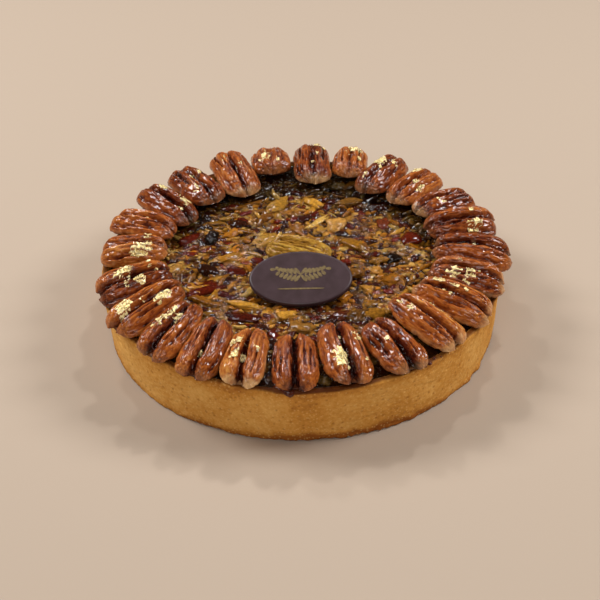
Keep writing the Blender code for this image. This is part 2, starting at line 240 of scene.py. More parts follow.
def layFloor():
    # backdrop, painted matt: a plain pale ground with no gloss of its own
    material, shader = startMaterial("backdrop, painted matt", {"Roughness": 0.9, "Specular IOR Level": 0.1})
    mottling = addNode(material, "TexNoise", {"Scale": 3.0, "Detail": 2.0})
    one, other = [linearColour(tint) for tint in studio["floor"]]
    tint = addNode(material, "Mix", {0: mottling.outputs["Fac"], 6: one, 7: other}, data_type="RGBA")
    join(material, tint.outputs[2], shader.inputs["Base Color"])
    mesh = bpy.data.meshes.new("floor")
    reach = studio["floorReach"]
    corners = [(-reach, -reach, 0), (reach, -reach, 0), (reach, reach, 0), (-reach, reach, 0)]
    mesh.from_pydata(corners, [], [(0, 1, 2, 3)])
    mesh.materials.append(material)
    floor = bpy.data.objects.new("floor", mesh)
    floor.location.z = -studio["floorDrop"]
    scene.collection.objects.link(floor)


aimCamera()
lightSky()
for light in studio["lights"]:
    addLight(*light)
layFloor()
print("stage, light and camera stand")


# shortcrust shell

crustLook = {
    "around": 480,
    "tints": ((0.0, "#e4b062"), (0.45, "#cc8f40"), (1.0, "#935520")),
    "glaze": "#4a1b04",
    "spot": "#8e4a20",
    "sugar": "#ecc47c",
    "patches": 14,          # mm across, and the next three: drawn coarser than real to show
    "grain": 1.8,
    "spots": 3.0,
    "sugars": 1.5,
}
# relief, from rows of (height in mm, size in mm, seed); the swells and the rim's wave are the
# solid's own, which counts them per metre
crustRelief = {
    "swell": ((0.5, 1000 / 38, 0), (0.25, 1000 / 130, 0)),
    "grain": ((0.16, 1.5, 3), (0.10, 0.8, 4)),
    "pit": 0.45,
    "crumble": ((1.0, 2.2, 6), (0.7, 1.1, 7)),
    "rimWave": ((0.45, 1000 / 45, 0),),
    # lumps at the foot: azimuth, half width in degrees, how far out in mm
    "footLumps": ((-29.5, 1.8, 0.8), (-36, 2.4, 1.0), (-47, 1.8, 0.5), (-59, 2.0, 0.5)),
    "brownest": (-82, 24),  # azimuth and half width of the brownest, crumbliest foot
    # azimuth and half width of the left-front wall, drawn paler as painted light
    "paintedLitSide": (-140, 22),
    "overrun": (-93, 4.5),  # where the syrup ran over the rim
}


def shortcrustMaterial():
    # shortcrust, pressed in a ring and baked: dry, matt, finely grained, browner at foot and rim; the darker
    # foot is partly painted shade
    look = crustLook
    material, shader = startMaterial("shortcrust, baked dry",
                                     {"Roughness": 0.82, "IOR": 1.45, "Specular IOR Level": 0.1})
    place = addNode(material, "TexCoord").outputs["Object"]
    brownedAndShaded = addNode(material, "Attribute", attribute_name="brownedAndShaded").outputs["Fac"]
    glazed = addNode(material, "Attribute", attribute_name="glazed").outputs["Fac"]
    patches = addNode(material, "TexNoise", {"Vector": place, "Scale": 1 / (look["patches"] * mm),
                                             "Detail": 3.0})
    grain = addNode(material, "TexNoise", {"Vector": place, "Scale": 1 / (look["grain"] * mm),
                                           "Detail": 4.0, "Roughness": 0.65})
    speckle = addNode(material, "TexVoronoi", {"Vector": place, "Scale": 1 / (look["spots"] * mm)})
    sugar = addNode(material, "TexVoronoi", {"Vector": place, "Scale": 1 / (look["sugars"] * mm)})
    calm = addNode(material, "Math", {0: grain.outputs["Fac"], 1: 0.6}, operation="MULTIPLY")
    mixed = addNode(material, "Math", {0: patches.outputs["Fac"], 1: 0.5, 2: calm.outputs[0]},
                    operation="MULTIPLY_ADD")
    centred = addNode(material, "Math", {0: mixed.outputs[0], 1: 0.55}, operation="SUBTRACT")
    level = addNode(material, "Math", {0: centred.outputs[0], 1: 1.5, 2: brownedAndShaded}, operation="MULTIPLY_ADD")
    ramp = addNode(material, "ValToRGB", {"Fac": level.outputs[0]}, stops=look["tints"])
    spots = addNode(material, "MapRange", {"Value": speckle.outputs["Distance"], "From Min": 0.10,
                                           "From Max": 0.26, "To Min": 0.45, "To Max": 0.0})
    spotted = addNode(material, "Mix", {0: spots.outputs[0], 6: ramp.outputs["Color"],
                                        7: linearColour(look["spot"])}, data_type="RGBA")
    grains = addNode(material, "MapRange", {"Value": sugar.outputs["Distance"], "From Min": 0.12,
                                            "From Max": 0.36, "To Min": 0.4, "To Max": 0.0})
    grained = addNode(material, "Mix", {0: grains.outputs[0], 6: spotted.outputs[2],
                                        7: linearColour(look["sugar"])}, data_type="RGBA")
    wet = addNode(material, "Mix", {0: glazed, 6: grained.outputs[2], 7: linearColour(look["glaze"])},
                  data_type="RGBA")
    join(material, wet.outputs[2], shader.inputs["Base Color"])
    gloss = addNode(material, "MapRange", {"Value": glazed, "To Min": 0.85, "To Max": 0.45})
    join(material, gloss.outputs[0], shader.inputs["Roughness"])
    bump = addNode(material, "Bump", {"Height": grain.outputs["Fac"], "Strength": 0.55,
                                      "Distance": 0.35 * mm})
    join(material, bump.outputs["Normal"], shader.inputs["Normal"])
    return material


# the shell's section as (radius, height) points, from the floor's middle over the rim to the base
def shellProfile():
    form = shellForm
    base, outer, inner = form["baseRadius"], form["rimRadius"], insideRadius(form["rimHeight"])
    lip, top, floor = form["lipRadius"], form["rimHeight"], form["floorThickness"]
    profile = [(0.0, floor), (insideRadius(0) * 0.5, floor), (insideRadius(floor), floor)]
    profile += [(insideRadius(z), z) for z in np.linspace(8, top - lip, 6)]
    for angle in np.radians(np.linspace(0, 90, 6)[1:]):
        profile.append((inner + lip * (1 - math.cos(angle)), top - lip + lip * math.sin(angle)))
    for angle in np.radians(np.linspace(0, 90, 6)):
        profile.append((outer - lip + lip * math.sin(angle), top - lip + lip * math.cos(angle)))
    profile += [(base + (outer - base) * z / top, z) for z in np.linspace(top - lip, 0.25, 64)[1:]]
    return np.array(profile + [(base - 0.8, 0.0), (60.0, 0.0), (0.0, 0.0)])


# 1 at an azimuth and falling off on either side of it
def nearAzimuth(azimuth, middle, half):
    return np.exp(-((azimuth - middle) / half) ** 2)


def buildCrust():
    form, relief = shellForm, crustRelief
    top = form["rimHeight"]
    profile = shellProfile()
    around = crustLook["around"]
    angles = np.arange(around) * math.tau / around
    body = profile[1:-1]
    points = np.stack([body[:, :1] * np.cos(angles), body[:, :1] * np.sin(angles),
                       np.repeat(body[:, 1:], around, 1)], -1).reshape(-1, 3)
    radius = np.hypot(points[:, 0], points[:, 1])
    height = points[:, 2]
    azimuth = np.degrees(np.arctan2(points[:, 1], points[:, 0]))
    outside = (radius > [insideRadius(z) + 0.2 * form["wallThickness"] for z in height]) & (height > 0.1)
    # swells, then grain, pits and a crumbly foot
    pits = -relief["pit"] * smoothStep(0.42, 0.7, noiseAt(points / 1.9, 8))
    foot = 1 - smoothStep(0.5, 3.2, height + 0.8 * noiseAt(points / 5, 5))
    front = nearAzimuth(azimuth, *relief["brownest"])
    crumble = foot * (0.3 + 0.6 * front) * layers(points, relief["crumble"])
    for middle, half, out in relief["footLumps"]:
        crumble = crumble + foot * out * nearAzimuth(azimuth, middle, half)
    shift = layers(points, relief["swell"]) + layers(points, relief["grain"]) + pits + crumble
    shift = np.where(outside, shift, 0)
    wave = layersOver(points[:, 0], points[:, 1], relief["rimWave"])
    points[:, 0] *= 1 + shift / radius
    points[:, 1] *= 1 + shift / radius
    nearRim = height > top - 2 * form["lipRadius"]
    points[:, 2] += np.where(nearRim, wave + 0.12 * noiseAt(points / 2.0, 9), 0)
    # browned towards the rim; at the foot real browning plus painted shade where the wall meets the floor
    brownedAndShaded = (0.36 + 0.50 * (1 - smoothStep(0.0, 4.0, height)) + 0.30 * smoothStep(top - 6, top, height)
               + 0.2 * noiseAt(points / 22, 11))
    brownedAndShaded += 0.8 * front * (1 - smoothStep(1.5, 6.5, height + 1.5 * noiseAt(points / 6, 13)))
    # painted light: the left-front wall is drawn paler where the key light falls
    brownedAndShaded -= 0.16 * nearAzimuth(azimuth, *relief["paintedLitSide"])
    # syrup that boiled over browns the rim's top
    edge = top - 0.9 + 0.8 * noiseAt(points / 16, 12) - 1.1 * nearAzimuth(azimuth, *relief["overrun"])
    glazed = smoothStep(0, 0.9, height - edge) * 0.92
    faces = gridFaces(len(body), around, True)
    topMiddle, baseMiddle = len(points), len(points) + 1
    last = (len(body) - 1) * around
    for column in range(around):
        after = (column + 1) % around
        faces.append((topMiddle, after, column))
        faces.append((baseMiddle, last + column, last + after))
    faces = [tuple(reversed(face)) for face in faces]
    points = np.vstack([points, [(0, 0, profile[0][1]), (0, 0, 0)]])
    values = {"brownedAndShaded": np.append(brownedAndShaded, (0.4, 0.9)), "glazed": np.append(glazed, (0, 0))}
    makePiece("crustShell", points, faces, shortcrustMaterial(), values, ["crust"])


buildCrust()
print("shell is baked")


# pecan halves

# the solids' rows: azimuth, turn, distance, tilt, roll, flare, length, width, height
pecanRows = (
    (-92.5, 3, 77.5, 3, 0, 0.05, 33, 19.75, 10.5),
    (-107.5, 7, 77.5, 4, 0, 0.12, 33.5, 18.25, 10.5),
    (-121.5, 12, 78.5, 7, -6, 0.12, 35, 18.5, 10.5),
    (-135.5, 14, 78.5, 7, -6, 0.15, 35.5, 18.5, 10.5),
    (-150, 9, 77.5, 9, -12, 0.15, 38, 18.5, 10.5),
    (-165.5, 6, 77, 7, -14, 0.12, 35, 20, 10.5),
    (177, 0, 76.5, 5, -8, 0.06, 31.5, 18.75, 11),
    (162.5, -9, 77, 5, 0, 0.08, 34, 17.5, 11),
    (148, -14, 75.5, -2, 0, 0.05, 36, 17.75, 11),
    (131, -6, 77.5, 2, 0, 0, 35, 19.75, 11),
    (115, -5, 75, -2, 0, 0, 38, 20, 11.5),
    (100, -4, 82, 5, 0, 0, 21, 20.2, 11),
    (85, 7, 77, 2, 0, -0.03, 34.5, 19, 11),
    (71.5, 12, 82, 4, 0, 0, 25, 17.75, 11),
    (57.5, -2, 76.5, 1, 0, 0, 35, 17.75, 11),
    (43.5, 4, 77.5, 3, 0, 0.08, 34, 17.75, 11),
    (29.5, 0, 79, 6, 0, 0.1, 33, 18, 10.5),
    (14.5, 0, 77.5, 4, 12, 0.1, 35, 20, 11),
    (-1.5, -3, 78, 7, 14, 0.12, 36.5, 19.75, 10.5),
    (-16, 3, 76.5, 8, 6, 0.12, 34.5, 19, 10.5),
    (-30, 0, 76, 8, 12, 0.12, 36.5, 18.25, 10.5),
    (-45, -1, 74.5, 8, 0, 0.12, 38, 18.5, 10.5),
    (-61, 2, 77.3, 6, 0, 0.1, 33, 20, 10.5),
    (-77, 0, 74.5, 5, -8, 0.08, 36.5, 20.25, 10.5),
)
# tone (-1 maroon, 1 orange), pale wear at the inner and outer end, sideways bend
pecanLooks = (
    (-0.3, 0.2, 0.2, 0.02), (0.8, 0.4, 1.0, -0.03), (-0.1, 0.2, 0.3, 0.05),
    (-0.3, 0.1, 0.3, 0.05), (0.4, 0.2, 0.2, 0.04), (-0.7, 0.1, 0.1, 0.03),
    (0.7, 0.3, 0.3, -0.02), (0.4, 0.1, 0.3, -0.03), (-1.0, 0.2, 0.3, -0.05),
    (-1.1, 0.3, 0.4, 0.02), (0.1, 0.7, 0.4, 0.04), (-0.1, 0.3, 0.6, 0.0),
    (-1.2, 0.7, 0.2, 0.02), (0.6, 0.4, 0.4, 0.03), (-1.1, 0.3, 0.2, 0.0),
    (0.1, 0.5, 0.2, 0.02), (-0.9, 0.6, 0.3, -0.02), (-0.5, 0.2, 0.2, 0.02),
    (-0.7, 0.3, 0.3, 0.03), (-0.3, 0.2, 0.8, 0.02), (0.5, 0.6, 0.7, 0.03),
    (0.7, 0.3, 0.8, -0.03), (-0.6, 0.3, 0.5, -0.02), (-0.2, 0.2, 0.3, -0.04),
)
pecanForm = {
    "planPower": 4,
    "lobePower": 6.5,
    "bluntPower": 5.4,
    "outerTip": 0.36,
    "innerTip": 0.33,
    "notchDepth": 0.15,
    "endLift": 0.26,
    "edgeHeight": 0.34,
    "underShorter": 0.97,
    "bendReach": 1.4,
    "rings": 92,
    "across": 66,
    "under": 14,
    "lump": 0.42,           # mm, and the wrinkles', grain's and pits' depths below
    "wrinkle": 0.52,
    "grain": 0.06,
    "pit": 0.22,
}
# the channel down the back, in shares of the half's width and height
channelForm = {
    "wander": 0.10,
    "halfWidth": 0.135,
    "depth": 0.54,
    "ridges": ((-0.045, 0.2), (0.05, 0.15)),    # place across and height of each papery ridge
    "ridgeWidth": 0.028,
    "fingers": (0.08, 0.36, 0.2),   # height, place and width of the lobe proud on either side
}
# how much paler the left lobe is than the right where it shows, seen from outside
lobeTones = {3: -0.3, 6: -0.9, 20: 0.8, 22: 0.5}
# how far the outer end splits into fingertips, and how deep the channel is
pecanSplits = {
    1: (1.0, 1.0), 2: (1.0, 1.0), 3: (0.9, 1.0), 4: (0.8, 0.9), 7: (0.35, 0.5), 8: (0.5, 0.6),
    9: (0.6, 1.0), 10: (0.3, 0.7), 11: (0.35, 0.8), 12: (0.0, 0.4), 13: (0.0, 0.55), 14: (0.0, 0.6),
    15: (0.2, 0.55), 16: (0.3, 0.7), 17: (0.3, 0.6), 18: (0.5, 0.8), 19: (0.6, 0.7), 22: (0.9, 0.9),
    23: (1.0, 0.9), 24: (0.9, 1.0),
}
usualSplit = (0.6, 0.85)
solidRings = (-0.97, -0.86, -0.64, -0.33, 0.0, 0.33, 0.64, 0.86, 0.97)
solidUnder = (-0.62, 0.0, 0.62)


def splitOf(number):
    return pecanSplits.get(number, usualSplit)


def planShare(along, flare):
    return np.sqrt(1 - np.abs(along) ** pecanForm["planPower"]) * (1 + flare * along)


# place across the half, as a share of its half width: the lobes touch along the middle and
# part only near the ends, each closing round its own middle line as a blunt fingertip
def sideShare(along, across, flare, split):
    far = np.abs(along)
    outside = np.asarray(along) > 0
    inward = np.where(outside, pecanForm["outerTip"], pecanForm["innerTip"])
    middle = 0.5 - (0.5 - inward) * smoothStep(np.where(outside, 0.45, 0.35), 1.0, far)
    half = 0.5 * np.sqrt(1 - far ** pecanForm["lobePower"])
    inner = np.clip(middle - half, 0, None)
    folded = np.abs(across)
    share = (inner + (middle + half - inner) * folded) * smoothStep(0, 0.06, folded + 1e-3)
    share = split * share + (1 - split) * np.sqrt(1 - far ** pecanForm["bluntPower"]) * folded
    return np.sign(across) * share * (1 + flare * along)


# how far the ends draw back: most in the channel, a little at the flanks
def endShift(along, across, lopsided, split):
    notch = pecanForm["notchDepth"] * 2.0 * np.exp(-(across / 0.06) ** 2) * np.abs(along) ** 7
    notch = notch * np.where(np.asarray(along) > 0, 0.10 + 0.90 * split, 0.15 + 0.25 * split)
    flank = 0.02 * np.clip((np.abs(across) - 0.42) / 0.58, 0, 1) ** 2 * np.abs(along) ** 6
    uneven = lopsided * np.sign(across) * smoothStep(0.05, 0.3, np.abs(across)) * np.abs(along) ** 4
    return notch + flank + uneven


def crownShare(along):
    return np.sqrt(np.clip(1 - np.abs(along) ** 3.6, 0, 1))


def underShare(along, across):
    return pecanForm["endLift"] * np.abs(along) ** 3 + 0.1 * across ** 2


# the back without its channel, as a share of the half's height: its top, and its edge and
# underside below that
def plainBack(along, across):
    crown = crownShare(along)
    under = underShare(along, 0)
    edge = under + pecanForm["edgeHeight"] * crown * (1 - 0.4 * np.abs(along) ** 3)
    bulge = np.clip(1 - np.abs(across) ** 2.6, 0, 1) ** 0.6
    return edge + (crown * (1 - 0.1 * along ** 2) + 0.5 * under - edge) * bulge, edge, under


# place of a half: its solid's turn, with the height read from the solid's lowest point
def pecanPlace(number, row):
    azimuth, turnAway, distance, tilt, roll, flare, length, width, height = row
    angle = math.radians(azimuth)
    turned = (Matrix.Rotation(math.radians(azimuth + turnAway), 4, "Z")
              @ Matrix.Rotation(math.radians(tilt), 4, "Y")
              @ Matrix.Rotation(math.radians(roll), 4, "X"))
    heights = []
    for along in solidRings:
        for across in solidUnder:
            point = turned @ Vector((length / 2 * along * pecanForm["underShorter"],
                                     width / 2 * across * planShare(along, flare),
                                     height * underShare(along, across)))
            heights.append(point.z)
    low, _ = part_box(f"pecan_{number:02d}")
    place = Vector((math.cos(angle) * distance, math.sin(angle) * distance, low.z / mm - min(heights)))
    return Matrix.Translation(place) @ turned


# folds in a half's back: place across, start and end along, depth, width and a noise's seed
def creaseSet(seed):
    draw = random.Random(seed * 101 + 7)
    creases = []
    for side in (-1, 1):
        # the long slot of each lobe, then short folds beside it
        if draw.random() < 0.65:
            start = draw.uniform(-0.5, 0.1)
            creases.append((side * draw.uniform(0.48, 0.64), start, start + draw.uniform(0.6, 0.95),
                            draw.uniform(0.14, 0.22), draw.uniform(0.028, 0.042), draw.uniform(0, 99)))
        for low, high in ((0.28, 0.42), (0.66, 0.82)):
            creases.append((side * draw.uniform(low, high),
                            draw.uniform(-0.85, -0.4), draw.uniform(0.3, 0.85),
                            draw.uniform(0.04, 0.11), draw.uniform(0.035, 0.055), draw.uniform(0, 99)))
        for _ in range(3):
            middle = draw.uniform(-0.65, 0.65)
            reach = draw.uniform(0.12, 0.3)
            creases.append((side * draw.uniform(0.3, 0.92), middle - reach, middle + reach,
                            draw.uniform(0.05, 0.11), draw.uniform(0.03, 0.05), draw.uniform(0, 99)))
    return creases


# noise along a half, one value for each of its rings
def ringNoise(along, frequency, seed):
    return noiseAt(np.stack([along * frequency, 0 * along, 0 * along], 1), seed)[:, None]


# the channel wanders and changes width along the half, and papery ridges run in it
def carveChannel(along, s, v, seed, split, channel):
    form = channelForm
    crown = crownShare(s)
    wander = form["wander"] * ringNoise(along, 1.6, seed + 0.3) * (1 - s ** 4)
    shifted = v - wander * (1 - np.abs(v))
    halfWidth = form["halfWidth"] * (1 + 0.5 * ringNoise(along, 2.72, seed + 0.7)) * (1 + 1.3 * s ** 6)
    depth = form["depth"] * channel * crown ** 0.35 * (1 + 0.25 * ringNoise(along, 3.68, seed + 0.9))
    depth = depth * (1 - (0.75 - 0.35 * split) * smoothStep(0.5, 0.95, -s))
    depth = depth * (1 - 0.85 * (1 - split) * smoothStep(-0.1, 0.55, s))
    carved = depth * np.exp(-(np.abs(shifted) / halfWidth) ** 2.1)
    ridges = 0
    for side, strength in form["ridges"]:
        place = shifted - side - 0.05 * ringNoise(along, 4.16, seed + 0.5 + side)
        ridge = np.exp(-(place / form["ridgeWidth"]) ** 2)
        ridges = ridges + strength * channel * ridge * crown * (1 - s ** 6)
    return shifted, carved, ridges


# pushes points out along their surface's own direction by lumps, lengthwise wrinkles, grain
# and pits, and gives the wrinkles' share too
def roughen(points, along, seed, form):
    ahead = np.gradient(points, axis=0)
    beside = np.roll(points, -1, 1) - np.roll(points, 1, 1)
    out = np.cross(ahead, beside)
    out /= np.linalg.norm(out, axis=-1, keepdims=True) + 1e-9
    spots = points.reshape(-1, 3)
    lumps = (noiseAt(spots * (0.14, 0.25, 0.25), seed + 20)
             + 0.35 * noiseAt(spots * (0.3, 0.55, 0.55), seed + 25))
    streaks = noiseAt(spots * (0.13, 0.62, 0.62), seed + 30)
    wrinkles = (1 - np.clip(np.abs(streaks) * 4.5, 0, 1)) ** 1.5
    grain = noiseAt(spots / 0.75, seed + 40)
    pits = smoothStep(0.35, 0.6, noiseAt(spots / 1.5, seed + 50))
    push = form["lump"] * lumps - form["wrinkle"] * wrinkles + form["grain"] * grain - form["pit"] * pits
    ends = (1 - np.abs(along) ** 12)[:, None]
    push = push.reshape(points.shape[:2]) * ends
    return points + out * push[..., None], wrinkles.reshape(points.shape[:2])


# closes one end by a strip between its upper and its lower row, whose places across are given
def endStrip(first, columns, upperSide, lowerSide, flip):
    faces = []
    i = j = 0
    lastUpper, lastLower = len(upperSide) - 1, len(lowerSide) - 1
    while i < lastUpper or j < lastLower:
        stepUpper = j == lastLower or (i < lastUpper and upperSide[i + 1] < lowerSide[j + 1])
        corners = [first + i, first + columns - 1 - j]
        if stepUpper:
            i += 1
            corners.append(first + i)
        else:
            j += 1
            corners.append(first + columns - 1 - j)
        faces.append(tuple(corners if flip else reversed(corners)))
    return faces


# how far a half is rubbed pale at its ends, and along the rim of the paler one
def rubbedEnds(s, v, inner, outer):
    ends = inner ** 1.5 * smoothStep(0.76, 0.97, -s) + outer ** 1.5 * smoothStep(0.78, 0.97, s)
    rims = 0.5 * max(inner, outer) ** 2 * smoothStep(0.88, 1.0, np.abs(v))
    return ends + rims * (s * (outer - inner) > 0)


# the detailed half in its own frame: points in mm, faces, and values for its material
def pecanMesh(size, flare, look, seed, split, channel, form=pecanForm):
    length, width, height = size
    tone, wornInner, wornOuter, bend = look
    draw = random.Random(seed * 13 + 5)
    rings = form["rings"]
    along = np.sin(np.linspace(-math.pi / 2, math.pi / 2, rings + 2)[1:-1] * 0.97)
    even = np.linspace(-1, 1, form["across"])
    across = np.sign(even) * (0.6 * np.abs(even) ** 1.7 + 0.4 * np.abs(np.sin(even * math.pi / 2)) ** 1.1)
    s, v = np.meshgrid(along, across, indexing="ij")
    back, _, under = plainBack(s, v)
    shifted, carved, ridges = carveChannel(along, s, v, seed, split, channel)
    # the channel, its ridges and the creases darken the colour: darker skin there and painted shade in the
    # folds
    groove = np.clip(carved / 0.40, 0, 1.15) - 1.2 * ridges
    groove = groove * (1 - 0.4 * smoothStep(0.8, 1.0, s) * (1 - split))
    # the lobes stand proud beside the channel like two fingers, each with its own slots
    proud, middle, spread = channelForm["fingers"]
    lobes = proud * np.exp(-((np.abs(shifted) - middle) / spread) ** 2) * crownShare(s)
    lobes = lobes * (1 + layersOver(s * 3, np.sign(v) * 2, ((0.5, 1, seed + 0.6),)))
    for place, start, end, cut, wide, key in creaseSet(seed):
        path = place + 0.09 * ringNoise(along, 2.2, key)
        window = smoothStep(start - 0.12, start + 0.08, s) * (1 - smoothStep(end - 0.08, end + 0.12, s))
        here = cut * window * np.exp(-(np.abs(v - path) / wide) ** 2)
        carved = carved + here * (1 - 0.6 * np.exp(-(shifted / 0.2) ** 2))
        groove = groove + 4.0 * here
    top = np.maximum(back + lobes - carved + ridges, under + 0.05)
    lopsided = draw.uniform(-0.05, 0.05)
    wavy = 1 + 0.03 * ringNoise(along, 2.4, seed + 0.2)

    def layOut(s, v, channelSide, share, rise):
        x = length / 2 * s * share * (1 - endShift(s, channelSide, lopsided, split))
        sway = bend * form["bendReach"] * (1 - s ** 2)
        y = width / 2 * (sideShare(s, v, flare, split) * wavy + sway)
        return np.stack([x, y, height * rise], -1)

    # underside, from edge to edge
    u = np.linspace(1, -1, form["under"] + 2)[1:-1]
    su, vu = np.meshgrid(along, u, indexing="ij")
    low = underShare(su, vu)
    edge = plainBack(su, vu)[1]
    rounded = low + (edge - low) * (1 - np.sqrt(np.clip(1 - np.abs(vu) ** 3, 0, 1)))
    plain = np.concatenate([layOut(s, v, shifted, 1, top), layOut(su, vu, vu, 0.985, rounded)], 1)
    points, wrinkles = roughen(plain, along, seed, form)
    columns = points.shape[1]
    spots = plain.reshape(-1, 3)
    # the wrinkles are darkened as painted shade, and the underside gets a fixed darkening
    groove = np.concatenate([groove, np.full(su.shape, 0.4)], 1) + 0.28 * wrinkles
    s, v = np.concatenate([s, su], 1), np.concatenate([v, vu], 1)
    patchy = 0.8 + 0.9 * noiseAt(spots / 3.2, seed + 60).reshape(s.shape)
    worn = np.clip(rubbedEnds(s, v, wornInner, wornOuter) * patchy, 0, 1)
    worn = worn * (1 - np.clip(groove, 0, 1) * 0.7)
    # one lobe is often darker than the other
    lobeTone = lobeTones.get(seed, draw.uniform(-0.45, 0.45))
    toned = tone + 0.8 * noiseAt(spots / 8, seed + 70) + lobeTone * np.tanh(v.ravel() * 5)
    toned = toned - 0.8 * smoothStep(0.5, 0.95, -s.ravel())
    faces = gridFaces(rings, columns, True)
    for first, flip in ((0, False), ((rings - 1) * columns, True)):
        faces += endStrip(first, columns, across, u[::-1], flip)
    points = points.reshape(-1, 3)
    values = {
        "groove": np.clip(groove.ravel(), 0, 1),
        "worn": worn.ravel(),
        "tone": toned,
        "nutPlace": points + (seed * 40, 0, 0),
    }
    return points, faces, values


def pecanMaterial(name, look):
    # pecan halves, roasted then brushed with syrup: dark in the grooves, from darker skin there and painted
    # shade in the folds, worn pale at the ends, a clear wet coat over a waxy skin
    material, shader = startMaterial(name, {
        "Roughness": look["roughness"], "IOR": 1.46, "Specular IOR Level": 0.0,
        "Coat Roughness": 0.035, "Coat IOR": 1.45})
    place = addNode(material, "Attribute", attribute_name="nutPlace").outputs["Vector"]
    groove = addNode(material, "Attribute", attribute_name="groove").outputs["Fac"]
    worn = addNode(material, "Attribute", attribute_name="worn").outputs["Fac"]
    tone = addNode(material, "Attribute", attribute_name="tone").outputs["Fac"]
    # fibres run lengthwise: about 0.5 mm wide and several mm long
    stretched = addNode(material, "Mapping", {"Vector": place, "Scale": (0.22, 1.5, 1.5)})
    fibres = addNode(material, "TexNoise", {"Vector": stretched.outputs[0], "Scale": 1.0, "Detail": 4.0,
                                            "Roughness": 0.6})
    mottling = addNode(material, "TexNoise", {"Vector": place, "Scale": 1 / 2.6, "Detail": 3.0})
    mixed = addNode(material, "Math", {0: fibres.outputs["Fac"], 1: mottling.outputs["Fac"]},
                    operation="ADD")
    toned = addNode(material, "Math", {0: mixed.outputs[0], 1: 0.62}, operation="MULTIPLY")
    tinted = addNode(material, "Math", {0: tone, 1: 0.13, 2: toned.outputs[0]}, operation="MULTIPLY_ADD")
    # grooves darken the tone: the skin's own darkness plus painted shade
    level = addNode(material, "Math", {0: groove, 1: -0.6, 2: tinted.outputs[0]},
                    operation="MULTIPLY_ADD")
    ramp = addNode(material, "ValToRGB", {"Fac": level.outputs[0]}, stops=look["tints"])
    blend = addNode(material, "Math", {0: worn, 1: 0.85}, operation="MULTIPLY")
    bare = addNode(material, "Mix", {0: blend.outputs[0], 6: ramp.outputs["Color"],
                                     7: linearColour(look["cream"])}, data_type="RGBA")
    join(material, bare.outputs[2], shader.inputs["Base Color"])
    wet = addNode(material, "MapRange", {"Value": groove, "From Min": 0.2, "From Max": 1.0,
                                         "To Min": look["coat"], "To Max": 0.5 * look["coat"]})
    join(material, wet.outputs[0], shader.inputs["Coat Weight"])
    bump = addNode(material, "Bump", {"Height": fibres.outputs["Fac"], "Strength": 0.6,
                                      "Distance": 0.5 * mm})
    join(material, bump.outputs["Normal"], shader.inputs["Normal"])
    # the syrup coat ripples over about 1.2 mm, which breaks its highlights into short glints
    ripple = addNode(material, "TexNoise", {"Vector": place, "Scale": 1 / 1.2, "Detail": 2.0})
    coatBump = addNode(material, "Bump", {"Height": ripple.outputs["Fac"], "Strength": 0.4,
                                          "Distance": 0.35 * mm})
    join(material, coatBump.outputs["Normal"], shader.inputs["Coat Normal"])
    return material


glazedLook = {
    "tints": ((0.0, "#240602"), (0.22, "#4e1a0c"), (0.46, "#7e3c18"), (0.68, "#a45a24"), (1.0, "#ce9048")),
    "cream": "#dcb27c",
    "roughness": 0.5,
    "coat": 1.0,
}
glazedPecan = pecanMaterial("pecan half, roasted and glazed", glazedLook)

pecanParts = {}


def buildPecans():
    for number, (row, look) in enumerate(zip(pecanRows, pecanLooks), start=1):
        flare, size = row[5], row[-3:]
        points, faces, values = pecanMesh(size, flare, look, number, *splitOf(number))
        place = pecanPlace(number, row)
        makePiece(f"pecanHalf{number:02d}", moved(points, place), faces, glazedPecan, values,
                  [f"pecan_{number:02d}"])
        pecanParts[number] = (place, BVHTree.FromPolygons(points.tolist(), faces), flare, size)


buildPecans()
print("halves are laid")


# pale half that props the disc

propLook = {
    "size": (31, 18, 9),
    "place": (-0.8, 0.5),
    "turn": -24.0,
    "flare": 0.05,
    "look": (0.35, 0.2, 0.2, 0.0),
    "seed": 31,
    "split": (0.3, 0.5),
    "form": dict(pecanForm, wrinkle=0.4, lump=0.5),
    "tints": ((0.0, "#2e1a06"), (0.3, "#644010"), (0.55, "#926826"), (0.8, "#b8923e"), (1.0, "#d8bc68")),
    "cream": "#d8c078",
    "roughness": 0.42,
    "coat": 0.4,
}


def buildProp():
    look = propLook
    material = pecanMaterial("pecan half, pale and glazed", look)
    low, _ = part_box("nut_prop")
    turned = Matrix.Rotation(math.radians(look["turn"]), 4, "Z")
    place = Matrix.Translation((*look["place"], low.z / mm)) @ turned
    points, faces, values = pecanMesh(look["size"], look["flare"], look["look"], look["seed"],
                                      *look["split"], look["form"])
    makePiece("propNut", moved(points, place), faces, material, values, ["nut_prop"])


buildProp()
print("prop is laid")


# chocolate disc

discLook = {
    "size": (45.8, 28.0, 3.0),
    "tilt": 23.0,
    "place": (-0.2, -25.3),
    "round": 1.15,          # mm, edge radius
    "around": 160,
    "tints": ((0.3, "#2b171a"), (0.7, "#372127")),
    "bloom": 6,             # mm across
    "grain": 0.7,
}


def discPlace():
    low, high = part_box("plaque")
    tilt = math.radians(discLook["tilt"])
    middle = (low.z + high.z) / 2 / mm
    return Matrix.Translation((*discLook["place"], middle)) @ Matrix.Rotation(tilt, 4, "X")


